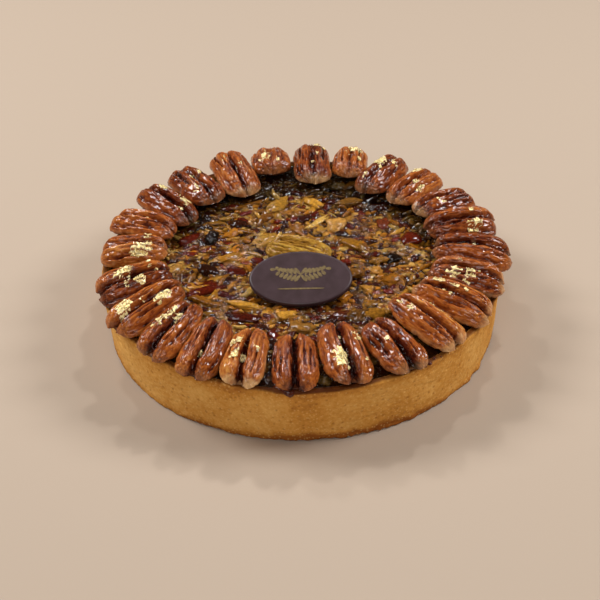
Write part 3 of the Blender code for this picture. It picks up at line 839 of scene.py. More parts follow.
def chocolateMaterial():
    # dark chocolate, cast in a polished mould: satin, a faint bloom, soft edge
    look = discLook
    material, shader = startMaterial("dark chocolate, moulded", {"Roughness": 0.42, "IOR": 1.46})
    place = addNode(material, "TexCoord").outputs["Object"]
    bloom = addNode(material, "TexNoise", {"Vector": place, "Scale": 1 / (look["bloom"] * mm), "Detail": 4.0})
    tint = addNode(material, "ValToRGB", {"Fac": bloom.outputs["Fac"]}, stops=look["tints"])
    join(material, tint.outputs["Color"], shader.inputs["Base Color"])
    gloss = addNode(material, "MapRange", {"Value": bloom.outputs["Fac"], "To Min": 0.36, "To Max": 0.52})
    join(material, gloss.outputs[0], shader.inputs["Roughness"])
    fine = addNode(material, "TexNoise", {"Vector": place, "Scale": 1 / (look["grain"] * mm), "Detail": 2.0})
    bump = addNode(material, "Bump", {"Height": fine.outputs["Fac"], "Strength": 0.08, "Distance": 0.1 * mm})
    join(material, bump.outputs["Normal"], shader.inputs["Normal"])
    return material


# ovals from near the middle of the face over the round edge to the back
def buildDisc():
    long, wide, thick = [measure / 2 for measure in discLook["size"]]
    edge, around = discLook["round"], discLook["around"]
    face = [((long - edge) * share, (wide - edge) * share, height)
            for share, height in ((0.35, thick - 0.02), (0.8, thick), (0.98, thick))]
    upper = [(edge * (1 - math.sin(turn)), thick - edge * (1 - math.cos(turn)))
             for turn in np.radians(np.linspace(0, 90, 7))]
    lower = [(inset, -height) for inset, height in reversed(upper)]
    ovals = face + [(long - inset, wide - inset, height) for inset, height in upper + lower]
    points = [(a * math.cos(angle), b * math.sin(angle), height) for a, b, height in ovals
              for angle in np.arange(around) * math.tau / around]
    faces = [tuple(reversed(corners)) for corners in gridFaces(len(ovals), around, True)]
    faces.append(tuple(range(around)))
    faces.append(tuple(reversed(range((len(ovals) - 1) * around, len(ovals) * around))))
    makePiece("chocolateDisc", moved(points, discPlace()), faces, chocolateMaterial(),
              replaced=["plaque"])


# a leaf spray over a thin rule, printed in dull gold; measures in mm from the disc's middle
printLook = {
    "tints": ((0.35, "#5c4a2c"), (0.65, "#73613a")),
    "wear": 1.2,
    "depth": 0.05,          # above the face and into it
    "step": 0.0015,         # each outline stands so much prouder than the one before it
    "reach": 11.0,
    "pairs": 6,
    "middle": 1.4,
    "bow": 0.024,
    "leaf": (4.4, 1.5),     # length and breadth at the middle of the spray
    "smaller": 0.07,
    "lean": 0.9,
    "leafPoints": 16,
    "rule": (10.5, 0.4, -5.8),      # half length, half breadth and place
    "rulePoints": 24,
}


def printMaterial():
    # cocoa butter, tinted dull gold and printed: satin, worn thin in spots
    look = printLook
    material, shader = startMaterial("cocoa butter print, dull gold", {"Roughness": 0.45, "IOR": 1.46})
    place = addNode(material, "TexCoord").outputs["Object"]
    worn = addNode(material, "TexNoise", {"Vector": place, "Scale": 1 / (look["wear"] * mm), "Detail": 3.0})
    tint = addNode(material, "ValToRGB", {"Fac": worn.outputs["Fac"]}, stops=look["tints"])
    join(material, tint.outputs["Color"], shader.inputs["Base Color"])
    return material


# a leaf from its stalk's end, pointing a given way and broadest beyond its middle
def leafOutline(x, y, way, size):
    outline = []
    for step in range(printLook["leafPoints"]):
        angle = math.tau * step / printLook["leafPoints"]
        out = size / 2 * (1 - math.cos(angle))
        off = printLook["leaf"][1] / 2 * math.sin(angle) * (1 - 0.3 * math.cos(angle))
        outline.append((x + out * math.cos(way) - off * math.sin(way),
                        y + out * math.sin(way) + off * math.cos(way)))
    return outline


def buildPrint():
    look = printLook
    outlines = []
    for side in (-1, 1):
        for number in range(look["pairs"] + 1):
            along = look["reach"] * number / look["pairs"]
            size = look["leaf"][0] * (1 - look["smaller"] * number)
            # pairs of leaves, and a single one at the tip
            for lean in ((look["lean"], -look["lean"]) if number < look["pairs"] else (0.0,)):
                way = lean if side > 0 else math.pi - lean
                height = look["middle"] + look["bow"] * along ** 2
                outlines.append(leafOutline(side * along, height, way, size))
    reach, breadth, middle = look["rule"]
    outlines.append([(reach * math.cos(angle), middle + breadth * math.sin(angle))
                     for angle in np.arange(look["rulePoints"]) * math.tau / look["rulePoints"]])
    top = discLook["size"][2] / 2
    points, faces = [], []
    for level, outline in enumerate(outlines):
        start, count = len(points), len(outline)
        points += [(x, y, top + look["depth"] + look["step"] * level) for x, y in outline]
        points += [(x, y, top - look["depth"]) for x, y in outline]
        faces.append(tuple(range(start, start + count)))
        for step in range(count):
            after = (step + 1) % count
            faces.append((start + step, start + count + step, start + count + after, start + after))
    makePiece("discPrint", moved(points, discPlace()), faces, printMaterial(), flat=True)


buildDisc()
buildPrint()
print("disc leans on its half")


# filling: syrup and chopped nuts

syrupLook = {
    "pitch": 0.55,          # mm between the surface's points
    "reach": 88.0,
    "level": -0.35,         # mm, the syrup between the pieces against the solid's top
    "ripple": ((0.30, 5.5, 2), (0.20, 2.4, 3), (0.12, 1.2, 4)),
    "murk": ("#2c1706", "#4a2e10"),
    # dark tint of deep syrup, also used as painted shade under the halves and at the rim
    "deepSyrupAndShade": "#240a02",
    "tone": (0.47, 0.345, 0.145),
    "daubReach": 84.0,      # mm from the middle to the outermost daub
    "climb": 0.22,          # how high it climbs against a piece, as a share of the piece's height
    "climbToHalves": 0.75,
    "rimRise": 0.9,
    "highest": 1.7,
}
# what lies just under the glaze: how many daubs, length and breadth in mm, colours, rise
daubKinds = (
    (260, 12.0, 8.0, "murk", 0.15),
    (330, 7.5, 4.8, "dark", 0.35),
    (300, 11.0, 2.6, "gold", 0.80),
    (330, 6.0, 3.4, "gold", 0.85),
    (260, 4.4, 3.0, "dark", 0.50),
    (520, 3.0, 1.8, "mixed", 0.50),
    (420, 1.7, 1.1, "specks", 0.30),
)
# the largest pieces stand where the solid's do: x, y, turn, length, breadth, height, colours
largePieces = (
    (-17, 15, 35, 13.5, 6.5, 3.5, "gold"),
    (8, 29, 46, 16, 3, 3, "gold"),
    (17, 27, -14, 8.5, 10, 4, "pale"),
    (9, 22, -2, 5.5, 6.5, 3, "gold"),
    (24, 10, -38, 12.5, 5.5, 3.5, "gold"),
    (36, -3, 10, 8, 4, 3, "gold"),
    (34, -11, -10, 5.5, 5.5, 3, "pale"),
    (41, -18, 31, 10, 6, 3.5, "gold"),
    (-42, 18, 0, 6.5, 8, 4.5, "black"),
    (52, 15, 0, 9.5, 10, 4.5, "dark"),
    (-11, 45, 59, 15, 8, 4, "gold"),
    (7, 46, -48, 10, 5, 3.5, "gold"),
    (24, 47, 2, 13, 6, 3.5, "pale"),
    (-42, -21, 29, 18, 8.5, 2.5, "dark"),
    (-25, -43, -13, 15, 5.5, 2.5, "dark"),
    (-25, -35, -16, 18, 3.5, 3, "gold"),
    (-45, -30, -31, 10.5, 4.5, 3, "gold"),
    (17, -43, 29, 9.5, 6.5, 2.5, "dark"),
    (-1, -52, -15, 9.5, 7.5, 4, "pale"),
    (32, -43, -20, 9, 7.5, 3.5, "gold"),
    (-6, -43, 13, 8.5, 5, 3, "gold"),
    (-52, 18, 29, 11.5, 7, 2.5, "dark"),
    (-34, 1, 26, 12, 5.5, 3, "gold"),
    (-29, -9, -13, 8.5, 7, 3, "dark"),
    (-58, -6, 53, 12, 6, 3, "pale"),
    (40, 29, 0, 7, 8.5, 3, "dark"),
    (-22, -24, 44, 10, 4, 3, "gold"),
    (2, 34, 41, 10, 4.5, 2.5, "dark"),
    (42, -1, 17, 7.5, 6, 3, "black"),
    (-20, 0, -30, 7, 5, 2.5, "dark"),
)
# how many, length, breadth and height in mm, wanted colours with their shares, how proud
choppedKinds = {
    "choppedLarge": (46, 7.5, 4.6, 3.4, "mixed", 0.16),
    "choppedSlivers": (150, 8.0, 1.9, 1.9, "gold", 0.16),
    "choppedSkins": (90, 5.0, 3.2, 1.5, "dark", 0.20),
    "choppedBits": (520, 3.2, 2.0, 1.7, "mixed", 0.18),
    "choppedCrumbs": (800, 1.7, 1.2, 1.1, "mixed", 0.25),
}
choppedTone = (0.52, 0.40, 0.20)    # what the amber glaze leaves of a piece's own colour
choppedTints = {
    "gold": (("#c49440", 4), ("#d8ae5a", 3), ("#a87428", 3), ("#ecd090", 2)),
    "pale": (("#d9b074", 3), ("#c99a58", 2)),
    "dark": (("#7a2816", 4), ("#5e1c10", 3), ("#8c4424", 2), ("#421a14", 2)),
    "black": (("#1c1010", 1),),
    "murk": (("#8a6434", 3), ("#6b4a26", 3), ("#4f341c", 2), ("#7c6448", 1), ("#93703c", 2)),
    "mixed": (("#c88c34", 4), ("#a87838", 3), ("#d8a85c", 2), ("#7c5426", 2), ("#5a2414", 3),
              ("#e6c68c", 1), ("#38180e", 2)),
    "specks": (("#e4c890", 2), ("#2a100a", 3), ("#c08038", 2), ("#7a2414", 2)),
}
scatter = {
    "cell": 6,              # mm, the width of the cells that neighbours are looked for in
    "room": 0.30,           # how far apart pieces stay, as a share of their mean breadth
    "largeRoom": 0.36,
    "smallReach": 79.0,     # mm from the middle, for pieces under 5 mm and for longer ones
    "longReach": 70.0,
    "direction": 0.1,
    "clearance": 0.4,       # mm under the nuts, the prop and the disc
    "sunk": 0.2,
}
clusters = ((0.6, 11, 6), (0.45, 4.5, 7))


# the filling's colours lie in clusters, and painted shade darkens it against the halves at the back
def clusterAndShadeShare(x, y):
    cluster = layersOver(x, y, clusters)
    near = smoothStep(44, 63, np.hypot(x, y)) * smoothStep(5, 40, y)
    shaded = np.clip((0.88 + 0.8 * cluster) * near, 0, 0.92)
    return np.clip(1.04 + 1.05 * cluster, 0.3, 1.35) * (1 - shaded)


def roundBall(steps):
    form = bmesh.new()
    bmesh.ops.create_icosphere(form, subdivisions=steps, radius=1)
    points = np.array([vertex.co[:] for vertex in form.verts])
    faces = [tuple(vertex.index for vertex in face.verts) for face in form.faces]
    form.free()
    return points, faces


def pickTint(draw, kind):
    tints = choppedTints[kind]
    return draw.choices([tint for tint, _ in tints], [share for _, share in tints])[0]


# steps along and across a piece that is turned, from steps along the frame's axes
def turnedSteps(dx, dy, turn):
    return dx * math.cos(turn) + dy * math.sin(turn), dy * math.cos(turn) - dx * math.sin(turn)


# the nuts, the prop and the disc above the syrup leave this much height free over a place
covers = treeOfNodes([name for name in nodes if name not in ("crust", "filling")])


def freeAbove(x, y, z):
    below = 3.0
    hit = covers.ray_cast(Vector((x, y, z - below)), Vector((0, 0, 1)))
    return 99.0 if hit[0] is None else hit[3] - below


# a row for each piece: kind, place, length, breadth, height, turn, tip, colour and seed
def placeChopped():
    draw = random.Random(29)
    placed = []
    cells = {}
    width = scatter["cell"]
    for x, y, turn, length, breadth, height, tints in largePieces:
        flat = tints == "dark"
        kind, share, proud = ("choppedSkins", 0.7, 0.05) if flat else ("choppedLarge", 1, 0.12)
        level = fillingHeight(math.hypot(x, y)) + proud * height
        placed.append((kind, x, y, level, length, breadth, height * share,
                       math.radians(turn), 0.0, pickTint(draw, tints), draw.uniform(0, 900)))
        room = scatter["largeRoom"] * math.sqrt(length * breadth)
        cells.setdefault((int(x // width), int(y // width)), []).append((x, y, room))
    for kind, (count, length, breadth, height, tints, proud) in choppedKinds.items():
        made = 0
        tries = 0
        reach = scatter["smallReach"] if length < 5 else scatter["longReach"]
        while made < count and tries < 40 * count:
            tries += 1
            radius = reach * math.sqrt(draw.random())
            angle = math.tau * draw.random()
            x, y = radius * math.cos(angle), radius * math.sin(angle)
            size = draw.uniform(0.7, 1.3)
            # long shreds lie mostly on the left, short chunks on the right
            long = 1.12 - 0.004 * x
            room = scatter["room"] * math.sqrt(length * breadth) * size
            cell = (int(x // width), int(y // width))
            near = [other for i in (-1, 0, 1) for j in (-1, 0, 1)
                    for other in cells.get((cell[0] + i, cell[1] + j), ())]
            if any(math.hypot(x - a, y - b) < room + other for a, b, other in near):
                continue
            level = fillingHeight(radius)
            lift = height * size * draw.uniform(proud - 0.25, proud + 0.1)
            if freeAbove(x, y, level) < height * size / 2 + lift + scatter["clearance"]:
                continue
            cells.setdefault(cell, []).append((x, y, room))
            turn = draw.gauss(scatter["direction"], 0.8)
            placed.append((kind, x, y, level + lift - scatter["sunk"], length * size * long, breadth * size,
                           height * size, turn, draw.gauss(0, 0.2), pickTint(draw, tints),
                           draw.uniform(0, 900)))
            made += 1
        print(kind, made)
    return placed


def choppedMaterial():
    # roasted pecan broken small, wet with syrup: waxy pieces with torn skins under a gloss
    material, shader = startMaterial("chopped pecan, roasted and syruped", {
        "Roughness": 0.5, "IOR": 1.46, "Specular IOR Level": 0.0,
        "Coat Weight": 0.6, "Coat Roughness": 0.05, "Coat IOR": 1.48})
    place = addNode(material, "TexCoord").outputs["Object"]
    tint = addNode(material, "Attribute", attribute_name="tint").outputs["Color"]
    skins = addNode(material, "TexNoise", {"Vector": place, "Scale": 1 / (1.3 * mm), "Detail": 5.0,
                                           "Roughness": 0.7})
    shade = addNode(material, "MapRange", {"Value": skins.outputs["Fac"], "From Min": 0.32, "From Max": 0.68,
                                           "To Min": 0.35, "To Max": 1.3})
    toned = addNode(material, "VectorMath", {0: tint, "Scale": shade.outputs[0]}, operation="SCALE")
    join(material, toned.outputs[0], shader.inputs["Base Color"])
    bump = addNode(material, "Bump", {"Height": skins.outputs["Fac"], "Strength": 0.6,
                                      "Distance": 0.4 * mm})
    join(material, bump.outputs["Normal"], shader.inputs["Normal"])
    ripple = addNode(material, "TexNoise", {"Vector": place, "Scale": 1 / (1.8 * mm), "Detail": 1.0})
    coatBump = addNode(material, "Bump", {"Height": ripple.outputs["Fac"], "Strength": 0.4,
                                          "Distance": 0.6 * mm})
    join(material, coatBump.outputs["Normal"], shader.inputs["Coat Normal"])
    return material


def buildChopped(placed):
    material = choppedMaterial()
    for kind in choppedKinds:
        ball, ballFaces = roundBall(3 if kind == "choppedLarge" else 2)
        points, faces, tints = [], [], []
        for own, x, y, z, length, breadth, height, turn, tip, tint, seed in placed:
            if own != kind:
                continue
            rough = 1 + 0.55 * noiseAt(ball * 1.1, seed) + 0.4 * noiseAt(ball * 2.9, seed + 1)
            form = np.sign(ball) * np.abs(ball) ** 0.8 * rough[:, None]
            form = form * (length / 2, breadth / 2, height / 2)
            if kind == "choppedSlivers":
                form[:, 1] += 0.06 * form[:, 0] ** 2 * math.sin(seed)
            turned = np.array(Matrix.Rotation(turn, 3, "Z") @ Matrix.Rotation(tip, 3, "Y"))
            start = len(points) * len(ball)
            points.append(form @ turned.T + (x, y, z))
            faces += [tuple(start + index for index in face) for face in ballFaces]
            # painted shade: pieces near the back halves are drawn darker, along with the colour clusters
            lit = float(clusterAndShadeShare(x, y))
            glazed = [value * share * lit for value, share in zip(linearColour(tint), choppedTone)]
            tints.append(np.tile((*glazed, 1.0), (len(ball), 1)))
        makePiece(kind, np.vstack(points), faces, material, {"tint": np.vstack(tints)})


def syrupMaterial():
    # sugar syrup boiled dark and set over the chopped nuts: their colours show through the
    # glaze with soft edges, and its wet top sparkles
    material, shader = startMaterial("syrup, boiled dark and set", {
        "Roughness": 0.5, "IOR": 1.48, "Specular IOR Level": 0.0,
        "Coat Weight": 1.0, "Coat Roughness": 0.03, "Coat IOR": 1.5})
    place = addNode(material, "TexCoord").outputs["Object"]
    tint = addNode(material, "Attribute", attribute_name="tint").outputs["Color"]
    grain = addNode(material, "TexNoise", {"Vector": place, "Scale": 1 / (1.6 * mm), "Detail": 4.0,
                                           "Roughness": 0.6})
    shade = addNode(material, "MapRange", {"Value": grain.outputs["Fac"], "From Min": 0.32, "From Max": 0.68,
                                           "To Min": 0.5, "To Max": 1.3})
    toned = addNode(material, "VectorMath", {0: tint, "Scale": shade.outputs[0]}, operation="SCALE")
    join(material, toned.outputs[0], shader.inputs["Base Color"])
    ripple = addNode(material, "TexNoise", {"Vector": place, "Scale": 1 / (1.9 * mm), "Detail": 2.0})
    bump = addNode(material, "Bump", {"Height": ripple.outputs["Fac"], "Strength": 0.8,
                                      "Distance": 0.9 * mm})
    join(material, bump.outputs["Normal"], shader.inputs["Coat Normal"])
    join(material, bump.outputs["Normal"], shader.inputs["Normal"])
    return material


# the part of the syrup's grid within a reach of a place
def gridWindow(px, py, reach):
    pitch = syrupLook["pitch"]
    half = int(syrupLook["reach"] / pitch)
    ends = [[int(np.clip((middle + sign * reach) / pitch + half, 0, 2 * half)) for sign in (-1, 1)]
            for middle in (px, py)]
    return tuple(slice(*span) for span in ends)


# daubs the colours of what lies under the glaze on the surface, and raises it there
def daubSurface(x, y, colour, rise):
    draw = random.Random(83)
    warpA, warpB = [layersOver(x, y, ((1, 2.6, seed), (0.5, 1.2, seed + 1))) for seed in (21, 23)]
    streak = layersOver(x * 0.35, y * 1.1, ((1, 1, 25),))
    for count, length, breadth, tints, lift in daubKinds:
        for _ in range(count):
            radius = syrupLook["daubReach"] * math.sqrt(draw.random())
            angle = math.tau * draw.random()
            px, py = radius * math.cos(angle), radius * math.sin(angle)
            turn = draw.gauss(0.1, 0.75)
            size = draw.uniform(0.6, 1.35)
            long = length * size * (1.15 - 0.0045 * px)
            wide = breadth * size
            tint = np.array(linearColour(pickTint(draw, tints))[:3]) * draw.uniform(0.75, 1.2)
            tint = tint * syrupLook["tone"]
            window = gridWindow(px, py, long * 0.75 + 1.0)
            if min(rise[window].shape) < 2:
                continue
            dx = x[window] - px + 0.9 * warpA[window]
            dy = y[window] - py + 0.9 * warpB[window]
            u, w = turnedSteps(dx, dy, turn)
            far = (np.abs(u / (long / 2)) ** 2.4 + np.abs(w / (wide / 2)) ** 2.4) ** (1 / 2.4)
            soft = 0.55 / min(wide, 4.0)
            cover = np.clip((1 + soft - far) / (2 * soft), 0, 1)
            cover = cover * (0.6 if tints == "murk" else 0.82)
            # each piece is shaded along its grain, and a darker line round it is painted shade in the gap
            # beside it
            shaded = tint * (1 + 0.3 * streak[window])[..., None]
            line = np.clip(1 - np.abs(far - 1.15) / 0.28, 0, 1) * 0.6 * (tints not in ("murk", "specks"))
            patch = colour[window] * (1 - line)[..., None]
            colour[window] = patch * (1 - cover)[..., None] + shaded * cover[..., None]
            dome = np.clip(1 - far ** 2 * 0.6, 0, 1)
            rise[window] = np.maximum(rise[window] * (1 - 0.5 * cover), cover * lift * dome)


# syrup climbs against each piece
def climbPieces(x, y, z, placed):
    for _, px, py, _, length, breadth, height, turn, _, _, _ in placed:
        window = gridWindow(px, py, length * 0.9 + 1.0)
        u, w = turnedSteps(x[window] - px, y[window] - py, turn)
        far = (u / (length / 2 + 0.5)) ** 2 + (w / (breadth / 2 + 0.5)) ** 2
        z[window] += syrupLook["climb"] * height * np.exp(-far * 1.2)


def buildSyrup(placed):
    look = syrupLook
    half = int(look["reach"] / look["pitch"])
    axis = np.arange(-half, half + 1) * look["pitch"]
    x, y = np.meshgrid(axis, axis, indexing="ij")
    radius = np.hypot(x, y)
    edge = insideRadius(27.0) - gap
    # the outermost points are drawn onto the rim circle
    keep = radius < edge + look["pitch"]
    scale = np.where(radius > edge, edge / np.maximum(radius, 1e-6), 1)
    x, y = x * scale, y * scale
    radius = np.minimum(radius, edge)
    darker, paler = [np.array(linearColour(tone)[:3]) for tone in look["murk"]]
    share = np.clip(0.5 + layersOver(x, y, ((0.9, 7, 5),)), 0, 1)[..., None]
    colour = darker * (1 - share) + paler * share
    rise = np.zeros(x.shape)
    daubSurface(x, y, colour, rise)
    z = fillingHeight(radius) + look["level"]
    z += (layersOver(x, y, look["ripple"]) + rise - 0.15) * smoothStep(edge, edge - 8, radius)
    climbPieces(x, y, z, placed)
    # and a little up to the halves that lie in it, and to the rim
    under = np.array([freeAbove(*place) for place in np.stack([x[keep], y[keep], z[keep]], 1).tolist()])
    close = np.exp(-np.clip(under, 0, 9) / 2.0) * np.clip(under, 0, 1.4)
    z[keep] += np.where(under < 4, look["climbToHalves"] * close, 0)
    z = np.minimum(z, fillingHeight(radius) + look["highest"])
    z += look["rimRise"] * smoothStep(edge - 1.6, edge, radius)
    # painted shade: under and beside the halves and at the rim the syrup is drawn darker, towards the dark
    # tint of deep syrup
    shade = np.ones(x.shape)
    shade[keep] = 0.42 + 0.58 * smoothStep(1, 12, under)
    openness = np.clip((1.0 - 0.6 * smoothStep(65, 78, radius)) * shade, 0.08, 1)[..., None]
    deepSyrupAndShade = np.array(linearColour(look["deepSyrupAndShade"])[:3])
    # colour clusters, and painted shade against the back halves
    colour = colour * clusterAndShadeShare(x, y)[..., None]
    colour = np.clip(colour * openness + deepSyrupAndShade * (1 - openness), 0, 1)
    index = -np.ones(x.shape, int)
    index[keep] = np.arange(keep.sum())
    whole = keep[:-1, :-1] & keep[1:, :-1] & keep[1:, 1:] & keep[:-1, 1:]
    i, j = np.nonzero(whole)
    faces = np.stack([index[i, j], index[i + 1, j], index[i + 1, j + 1], index[i, j + 1]], 1)
    points = np.stack([x[keep], y[keep], z[keep]], 1)
    tints = np.concatenate([colour[keep], np.ones((keep.sum(), 1))], 1)
    piece = makePiece("nutFilling", points, faces.tolist(), syrupMaterial(),
                      {"tint": tints}, ["filling"])
    closeBelow(piece)


# gives the syrup its depth: the border drops to the shell's floor and closes
def closeBelow(piece):
    form = bmesh.new()
    form.from_mesh(piece.data)
    border = [edge for edge in form.edges if edge.is_boundary]
    made = bmesh.ops.extrude_edge_only(form, edges=border)
    lowered = [item for item in made["geom"] if isinstance(item, bmesh.types.BMVert)]
    inner = (insideRadius(shellForm["floorThickness"]) - gap) * mm
    for vertex in lowered:
        share = inner / math.hypot(vertex.co.x, vertex.co.y)
        floor = (shellForm["floorThickness"] + gap) * mm
        vertex.co = (vertex.co.x * share, vertex.co.y * share, floor)
    lowest = [edge for edge in form.edges if edge.is_boundary]
    bmesh.ops.contextual_create(form, geom=lowest)
    bmesh.ops.recalc_face_normals(form, faces=form.faces)
    form.to_mesh(piece.data)
    form.free()
    piece.data.shade_smooth()


dripLook = {
    "tint": "#541c08",
    "along": 36,
    "around": 20,
    # syrup that ran over the rim at the front: azimuth, out, height, half width, half thickness
    "path": (
        (-94.6, 86.6, 27.5, 5.4, 0.5),
        (-94.5, 88.2, 28.5, 5.0, 0.55),
        (-94.3, 89.5, 28.9, 4.4, 0.5),
        (-94.1, 90.7, 28.9, 3.6, 0.42),
        (-93.9, 91.5, 28.5, 2.8, 0.4),
        (-93.7, 91.95, 27.8, 2.0, 0.4),
        (-93.5, 92.0, 27.0, 1.3, 0.42),
        (-93.4, 92.0, 26.3, 0.5, 0.25),
    ),
}
crumbLook = {
    "tint": "#5c2a22",
    # crumbs of skin on the rim, right of the front: azimuth, out, height, length
    "places": (
        (-54.7, 91.7, 28.4, 2.0), (-52.4, 90.3, 28.9, 1.7), (-56.1, 91.8, 28.1, 1.2),
        (-50.6, 91.4, 28.7, 1.0), (-31.0, 91.6, 28.6, 1.3),
    ),
}


# a flat oval swept along its path, which lies in the upright plane of each azimuth
def buildDrip():
    path = np.array(dripLook["path"])
    steps, around = dripLook["along"], dripLook["around"]
    fine = np.linspace(0, 1, steps)
    places = np.linspace(0, 1, len(path))
    azimuth, out, height, half, thick = (np.interp(fine, places, column) for column in path.T)
    way = np.stack([np.gradient(out), np.gradient(height)], 1)
    way /= np.linalg.norm(way, axis=1, keepdims=True)
    turn = np.arange(around) * math.tau / around
    lift = np.outer(thick, np.sin(turn))
    outs = out[:, None] - way[:, 1:] * lift
    heights = height[:, None] + way[:, :1] * lift
    side = np.outer(half * (1 + 0.15 * np.sin(fine * 9)), np.cos(turn))
    cos, sin = np.cos(np.radians(azimuth))[:, None], np.sin(np.radians(azimuth))[:, None]
    points = np.stack([outs * cos - side * sin, outs * sin + side * cos, heights], -1).reshape(-1, 3)
    faces = gridFaces(steps, around, True)
    faces.append(tuple(range(around)))
    faces.append(tuple(reversed(range((steps - 1) * around, steps * around))))
    tint = np.tile(linearColour(dripLook["tint"]), (len(points), 1))
    makePiece("syrupDrip", points, faces, syrupMaterial(), {"tint": tint})


def buildRimCrumbs():
    ball, ballFaces = roundBall(2)
    points, faces = [], []
    for number, (azimuth, out, height, length) in enumerate(crumbLook["places"]):
        angle = math.radians(azimuth)
        rough = 1 + 0.6 * noiseAt(ball * 1.3, number + 300)[:, None]
        turn = np.array(Matrix.Rotation(number * 1.3, 3, "Z"))
        form = (ball * rough * (length / 2, length * 0.32, length * 0.26)) @ turn.T
        faces += [tuple(len(points) * len(ball) + index for index in face) for face in ballFaces]
        points.append(form + (out * math.cos(angle), out * math.sin(angle), height))
    points = np.vstack(points)
    tint = np.tile(linearColour(crumbLook["tint"]), (len(points), 1))
    makePiece("rimCrumbs", points, faces, choppedMaterial(), {"tint": tint})


choppedPlaces = placeChopped()
buildSyrup(choppedPlaces)
buildChopped(choppedPlaces)
buildDrip()
buildRimCrumbs()
print("filling is set")


# gold leaf

# the solids' scraps: half number, place along and across it, length and width in mm
goldScraps = (
    (2, -0.20, -0.45, 3.0, 5.0), (2, 0.25, -0.35, 3.5, 4.5), (4, -0.30, -0.05, 4.0, 4.0),
    (4, 0.05, -0.45, 4.0, 3.5), (5, -0.35, 0.35, 6.5, 3.5), (5, 0.50, -0.35, 6.0, 5.0),
    (6, -0.10, 0.45, 4.0, 4.0), (6, 0.20, -0.35, 7.0, 3.5), (7, -0.45, -0.40, 2.5, 4.5),
    (7, -0.30, 0.55, 6.5, 4.5), (9, -0.50, -0.40, 4.5, 5.0), (9, 0.35, -0.40, 5.0, 3.0),
    (12, -0.40, 0.40, 3.5, 4.5), (13, 0.60, -0.35, 2.5, 5.0), (14, 0.40, -0.40, 3.0, 4.0),
    (15, 0.20, 0.40, 7.5, 3.5), (16, -0.20, -0.55, 4.0, 5.0), (16, 0.35, 0.40, 5.0, 3.0),
    (18, 0.20, -0.70, 5.0, 5.0), (20, -0.35, -0.55, 4.5, 4.0), (20, 0.05, -0.55, 4.0, 5.0),
    (21, -0.50, 0.40, 4.0, 2.5), (22, 0.15, 0.45, 3.0, 3.0), (24, 0.45, -0.40, 7.0, 4.5),
)
# how many flecks, smaller than the solids' scraps, each half has
goldFlecks = {2: 1, 3: 1, 4: 4, 5: 2, 6: 4, 7: 2, 8: 1, 9: 3, 10: 6, 11: 3, 12: 3, 13: 2, 14: 3,
              15: 2, 16: 2, 17: 2, 18: 1, 19: 1, 20: 3, 21: 5, 22: 6, 23: 1, 24: 6}
goldLook = {
    # gold's own colour, paler on the crumples' raised parts as painted sheen
    "tints": ((0.3, "#f6da84"), (0.7, "#fff3c8")),
    "crease": 0.8,          # mm from fold to fold
    "spread": 1.3,
    "lift": 0.38,
    "crumple": 0.45,
    "thickness": 0.12,
    "around": 14,
    "rings": 4,
    "bit": 3.6,             # square mm of a patch for each torn bit
}


def goldMaterial():
    # edible gold, beaten to leaf and torn: bright metal that crumples at under a millimetre; its raised
    # crumples are drawn paler as painted sheen
    look = goldLook
    material, shader = startMaterial("gold leaf, beaten and torn", {"Metallic": 0.45, "Roughness": 0.45})
    place = addNode(material, "TexCoord").outputs["Object"]
    crumple = addNode(material, "TexNoise", {"Vector": place, "Scale": 1 / (look["crease"] * mm),
                                             "Detail": 3.0})
    tint = addNode(material, "ValToRGB", {"Fac": crumple.outputs["Fac"]}, stops=look["tints"])
    join(material, tint.outputs["Color"], shader.inputs["Base Color"])
    bump = addNode(material, "Bump", {"Height": crumple.outputs["Fac"], "Strength": 0.5,
                                      "Distance": 0.25 * mm})
    join(material, bump.outputs["Normal"], shader.inputs["Normal"])
    return material


# a thin closed sheet from two layers of points: a middle and rings round it, above and below
def sheetFaces(around, rings):
    count = 1 + rings * around
    upper, border = [], []
    for step in range(around):
        after = (step + 1) % around
        upper.append((0, 1 + step, 1 + after))
        for first in range(1, 1 + (rings - 1) * around, around):
            upper.append((first + step, first + around + step, first + around + after, first + after))
        last = 1 + (rings - 1) * around
        border.append((last + step, count + last + step, count + last + after, last + after))
    lower = [tuple(count + index for index in reversed(face)) for face in upper]
    return upper + border + lower


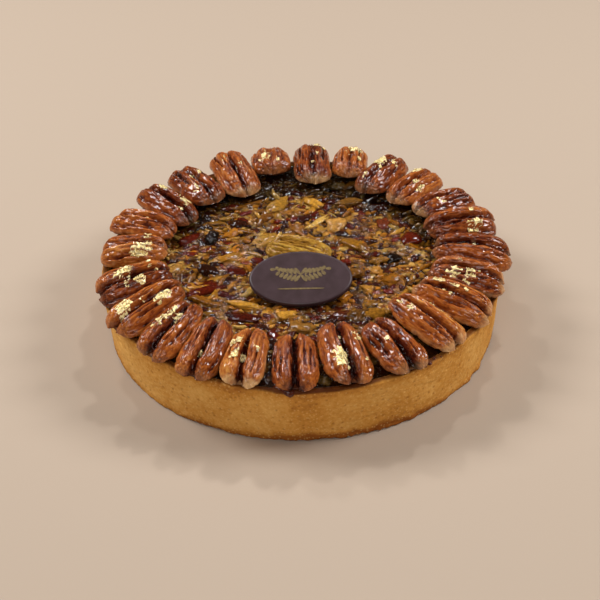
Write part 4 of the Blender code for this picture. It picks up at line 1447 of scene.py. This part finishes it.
# the points of one torn scrap laid on a half: its upper layer, then its lower one
def goldScrap(draw, tree, x, y, long, wide, place):
    look = goldLook
    seed = draw.uniform(0, 900)
    turn = draw.uniform(0, math.tau) * 0.15
    rows = [(0.0, 0.0)]
    for ring in range(1, look["rings"] + 1):
        for step in range(look["around"]):
            angle = math.tau * step / look["around"]
            ragged = 0.75 + 0.5 * noise.noise((math.cos(angle) * 1.6, math.sin(angle) * 1.6, seed))
            ragged += 0.22 * draw.uniform(-1, 1) * (ring == look["rings"])
            reach = ring / look["rings"] * ragged
            rows.append((reach * math.cos(angle) * long / 2, reach * math.sin(angle) * wide / 2))
    top, low = [], []
    for u, w in rows:
        a = x + u * math.cos(turn) - w * math.sin(turn)
        b = y + u * math.sin(turn) + w * math.cos(turn)
        point, normal, _, _ = tree.ray_cast(Vector((a, b, 30)), Vector((0, 0, -1)))
        if point is None:
            return None
        normal = (normal + Vector((0, 0, 1.2))).normalized()
        crumple = noise.noise((a * 1.3, b * 1.3, seed)) + 0.5 * noise.noise((a * 2.9, b * 2.9, seed))
        lifted = look["lift"] + look["crumple"] * (0.4 + crumple)
        top.append(place @ (point + normal * lifted))
        low.append(place @ (point + normal * (lifted - look["thickness"])))
    return [point[:] for point in top + low]


def buildGold():
    draw = random.Random(53)
    look = goldLook
    patches = list(goldScraps)
    for number, count in goldFlecks.items():
        for _ in range(count):
            patches.append((number, draw.uniform(-0.7, 0.45), draw.uniform(-0.7, 0.7),
                            draw.uniform(1.3, 3.2), draw.uniform(1.2, 2.8)))
    scrapFaces = sheetFaces(look["around"], look["rings"])
    points, faces = [], []
    for number, along, across, long, wide in patches:
        place, tree, flare, (length, width, _) = pecanParts[number]
        long, wide = long * look["spread"], wide * look["spread"]
        x = length / 2 * along
        y = width / 2 * float(sideShare(along, across, flare, splitOf(number)[0]))
        # a patch is a few torn bits that overlap
        bits = max(1, round(long * wide / look["bit"]))
        for _ in range(bits):
            spread = 0.33 if bits > 1 else 0
            bx = x + draw.uniform(-1, 1) * long * spread
            by = y + draw.uniform(-1, 1) * wide * spread
            share = 1.1 if bits == 1 else draw.uniform(0.5, 0.95)
            made = goldScrap(draw, tree, bx, by, max(1.0, long * share), max(0.9, wide * share), place)
            if made is None:
                continue
            faces += [tuple(len(points) + index for index in face) for face in scrapFaces]
            points += made
    makePiece("goldLeaf", points, faces, goldMaterial())


buildGold()
print("gold leaf is on")
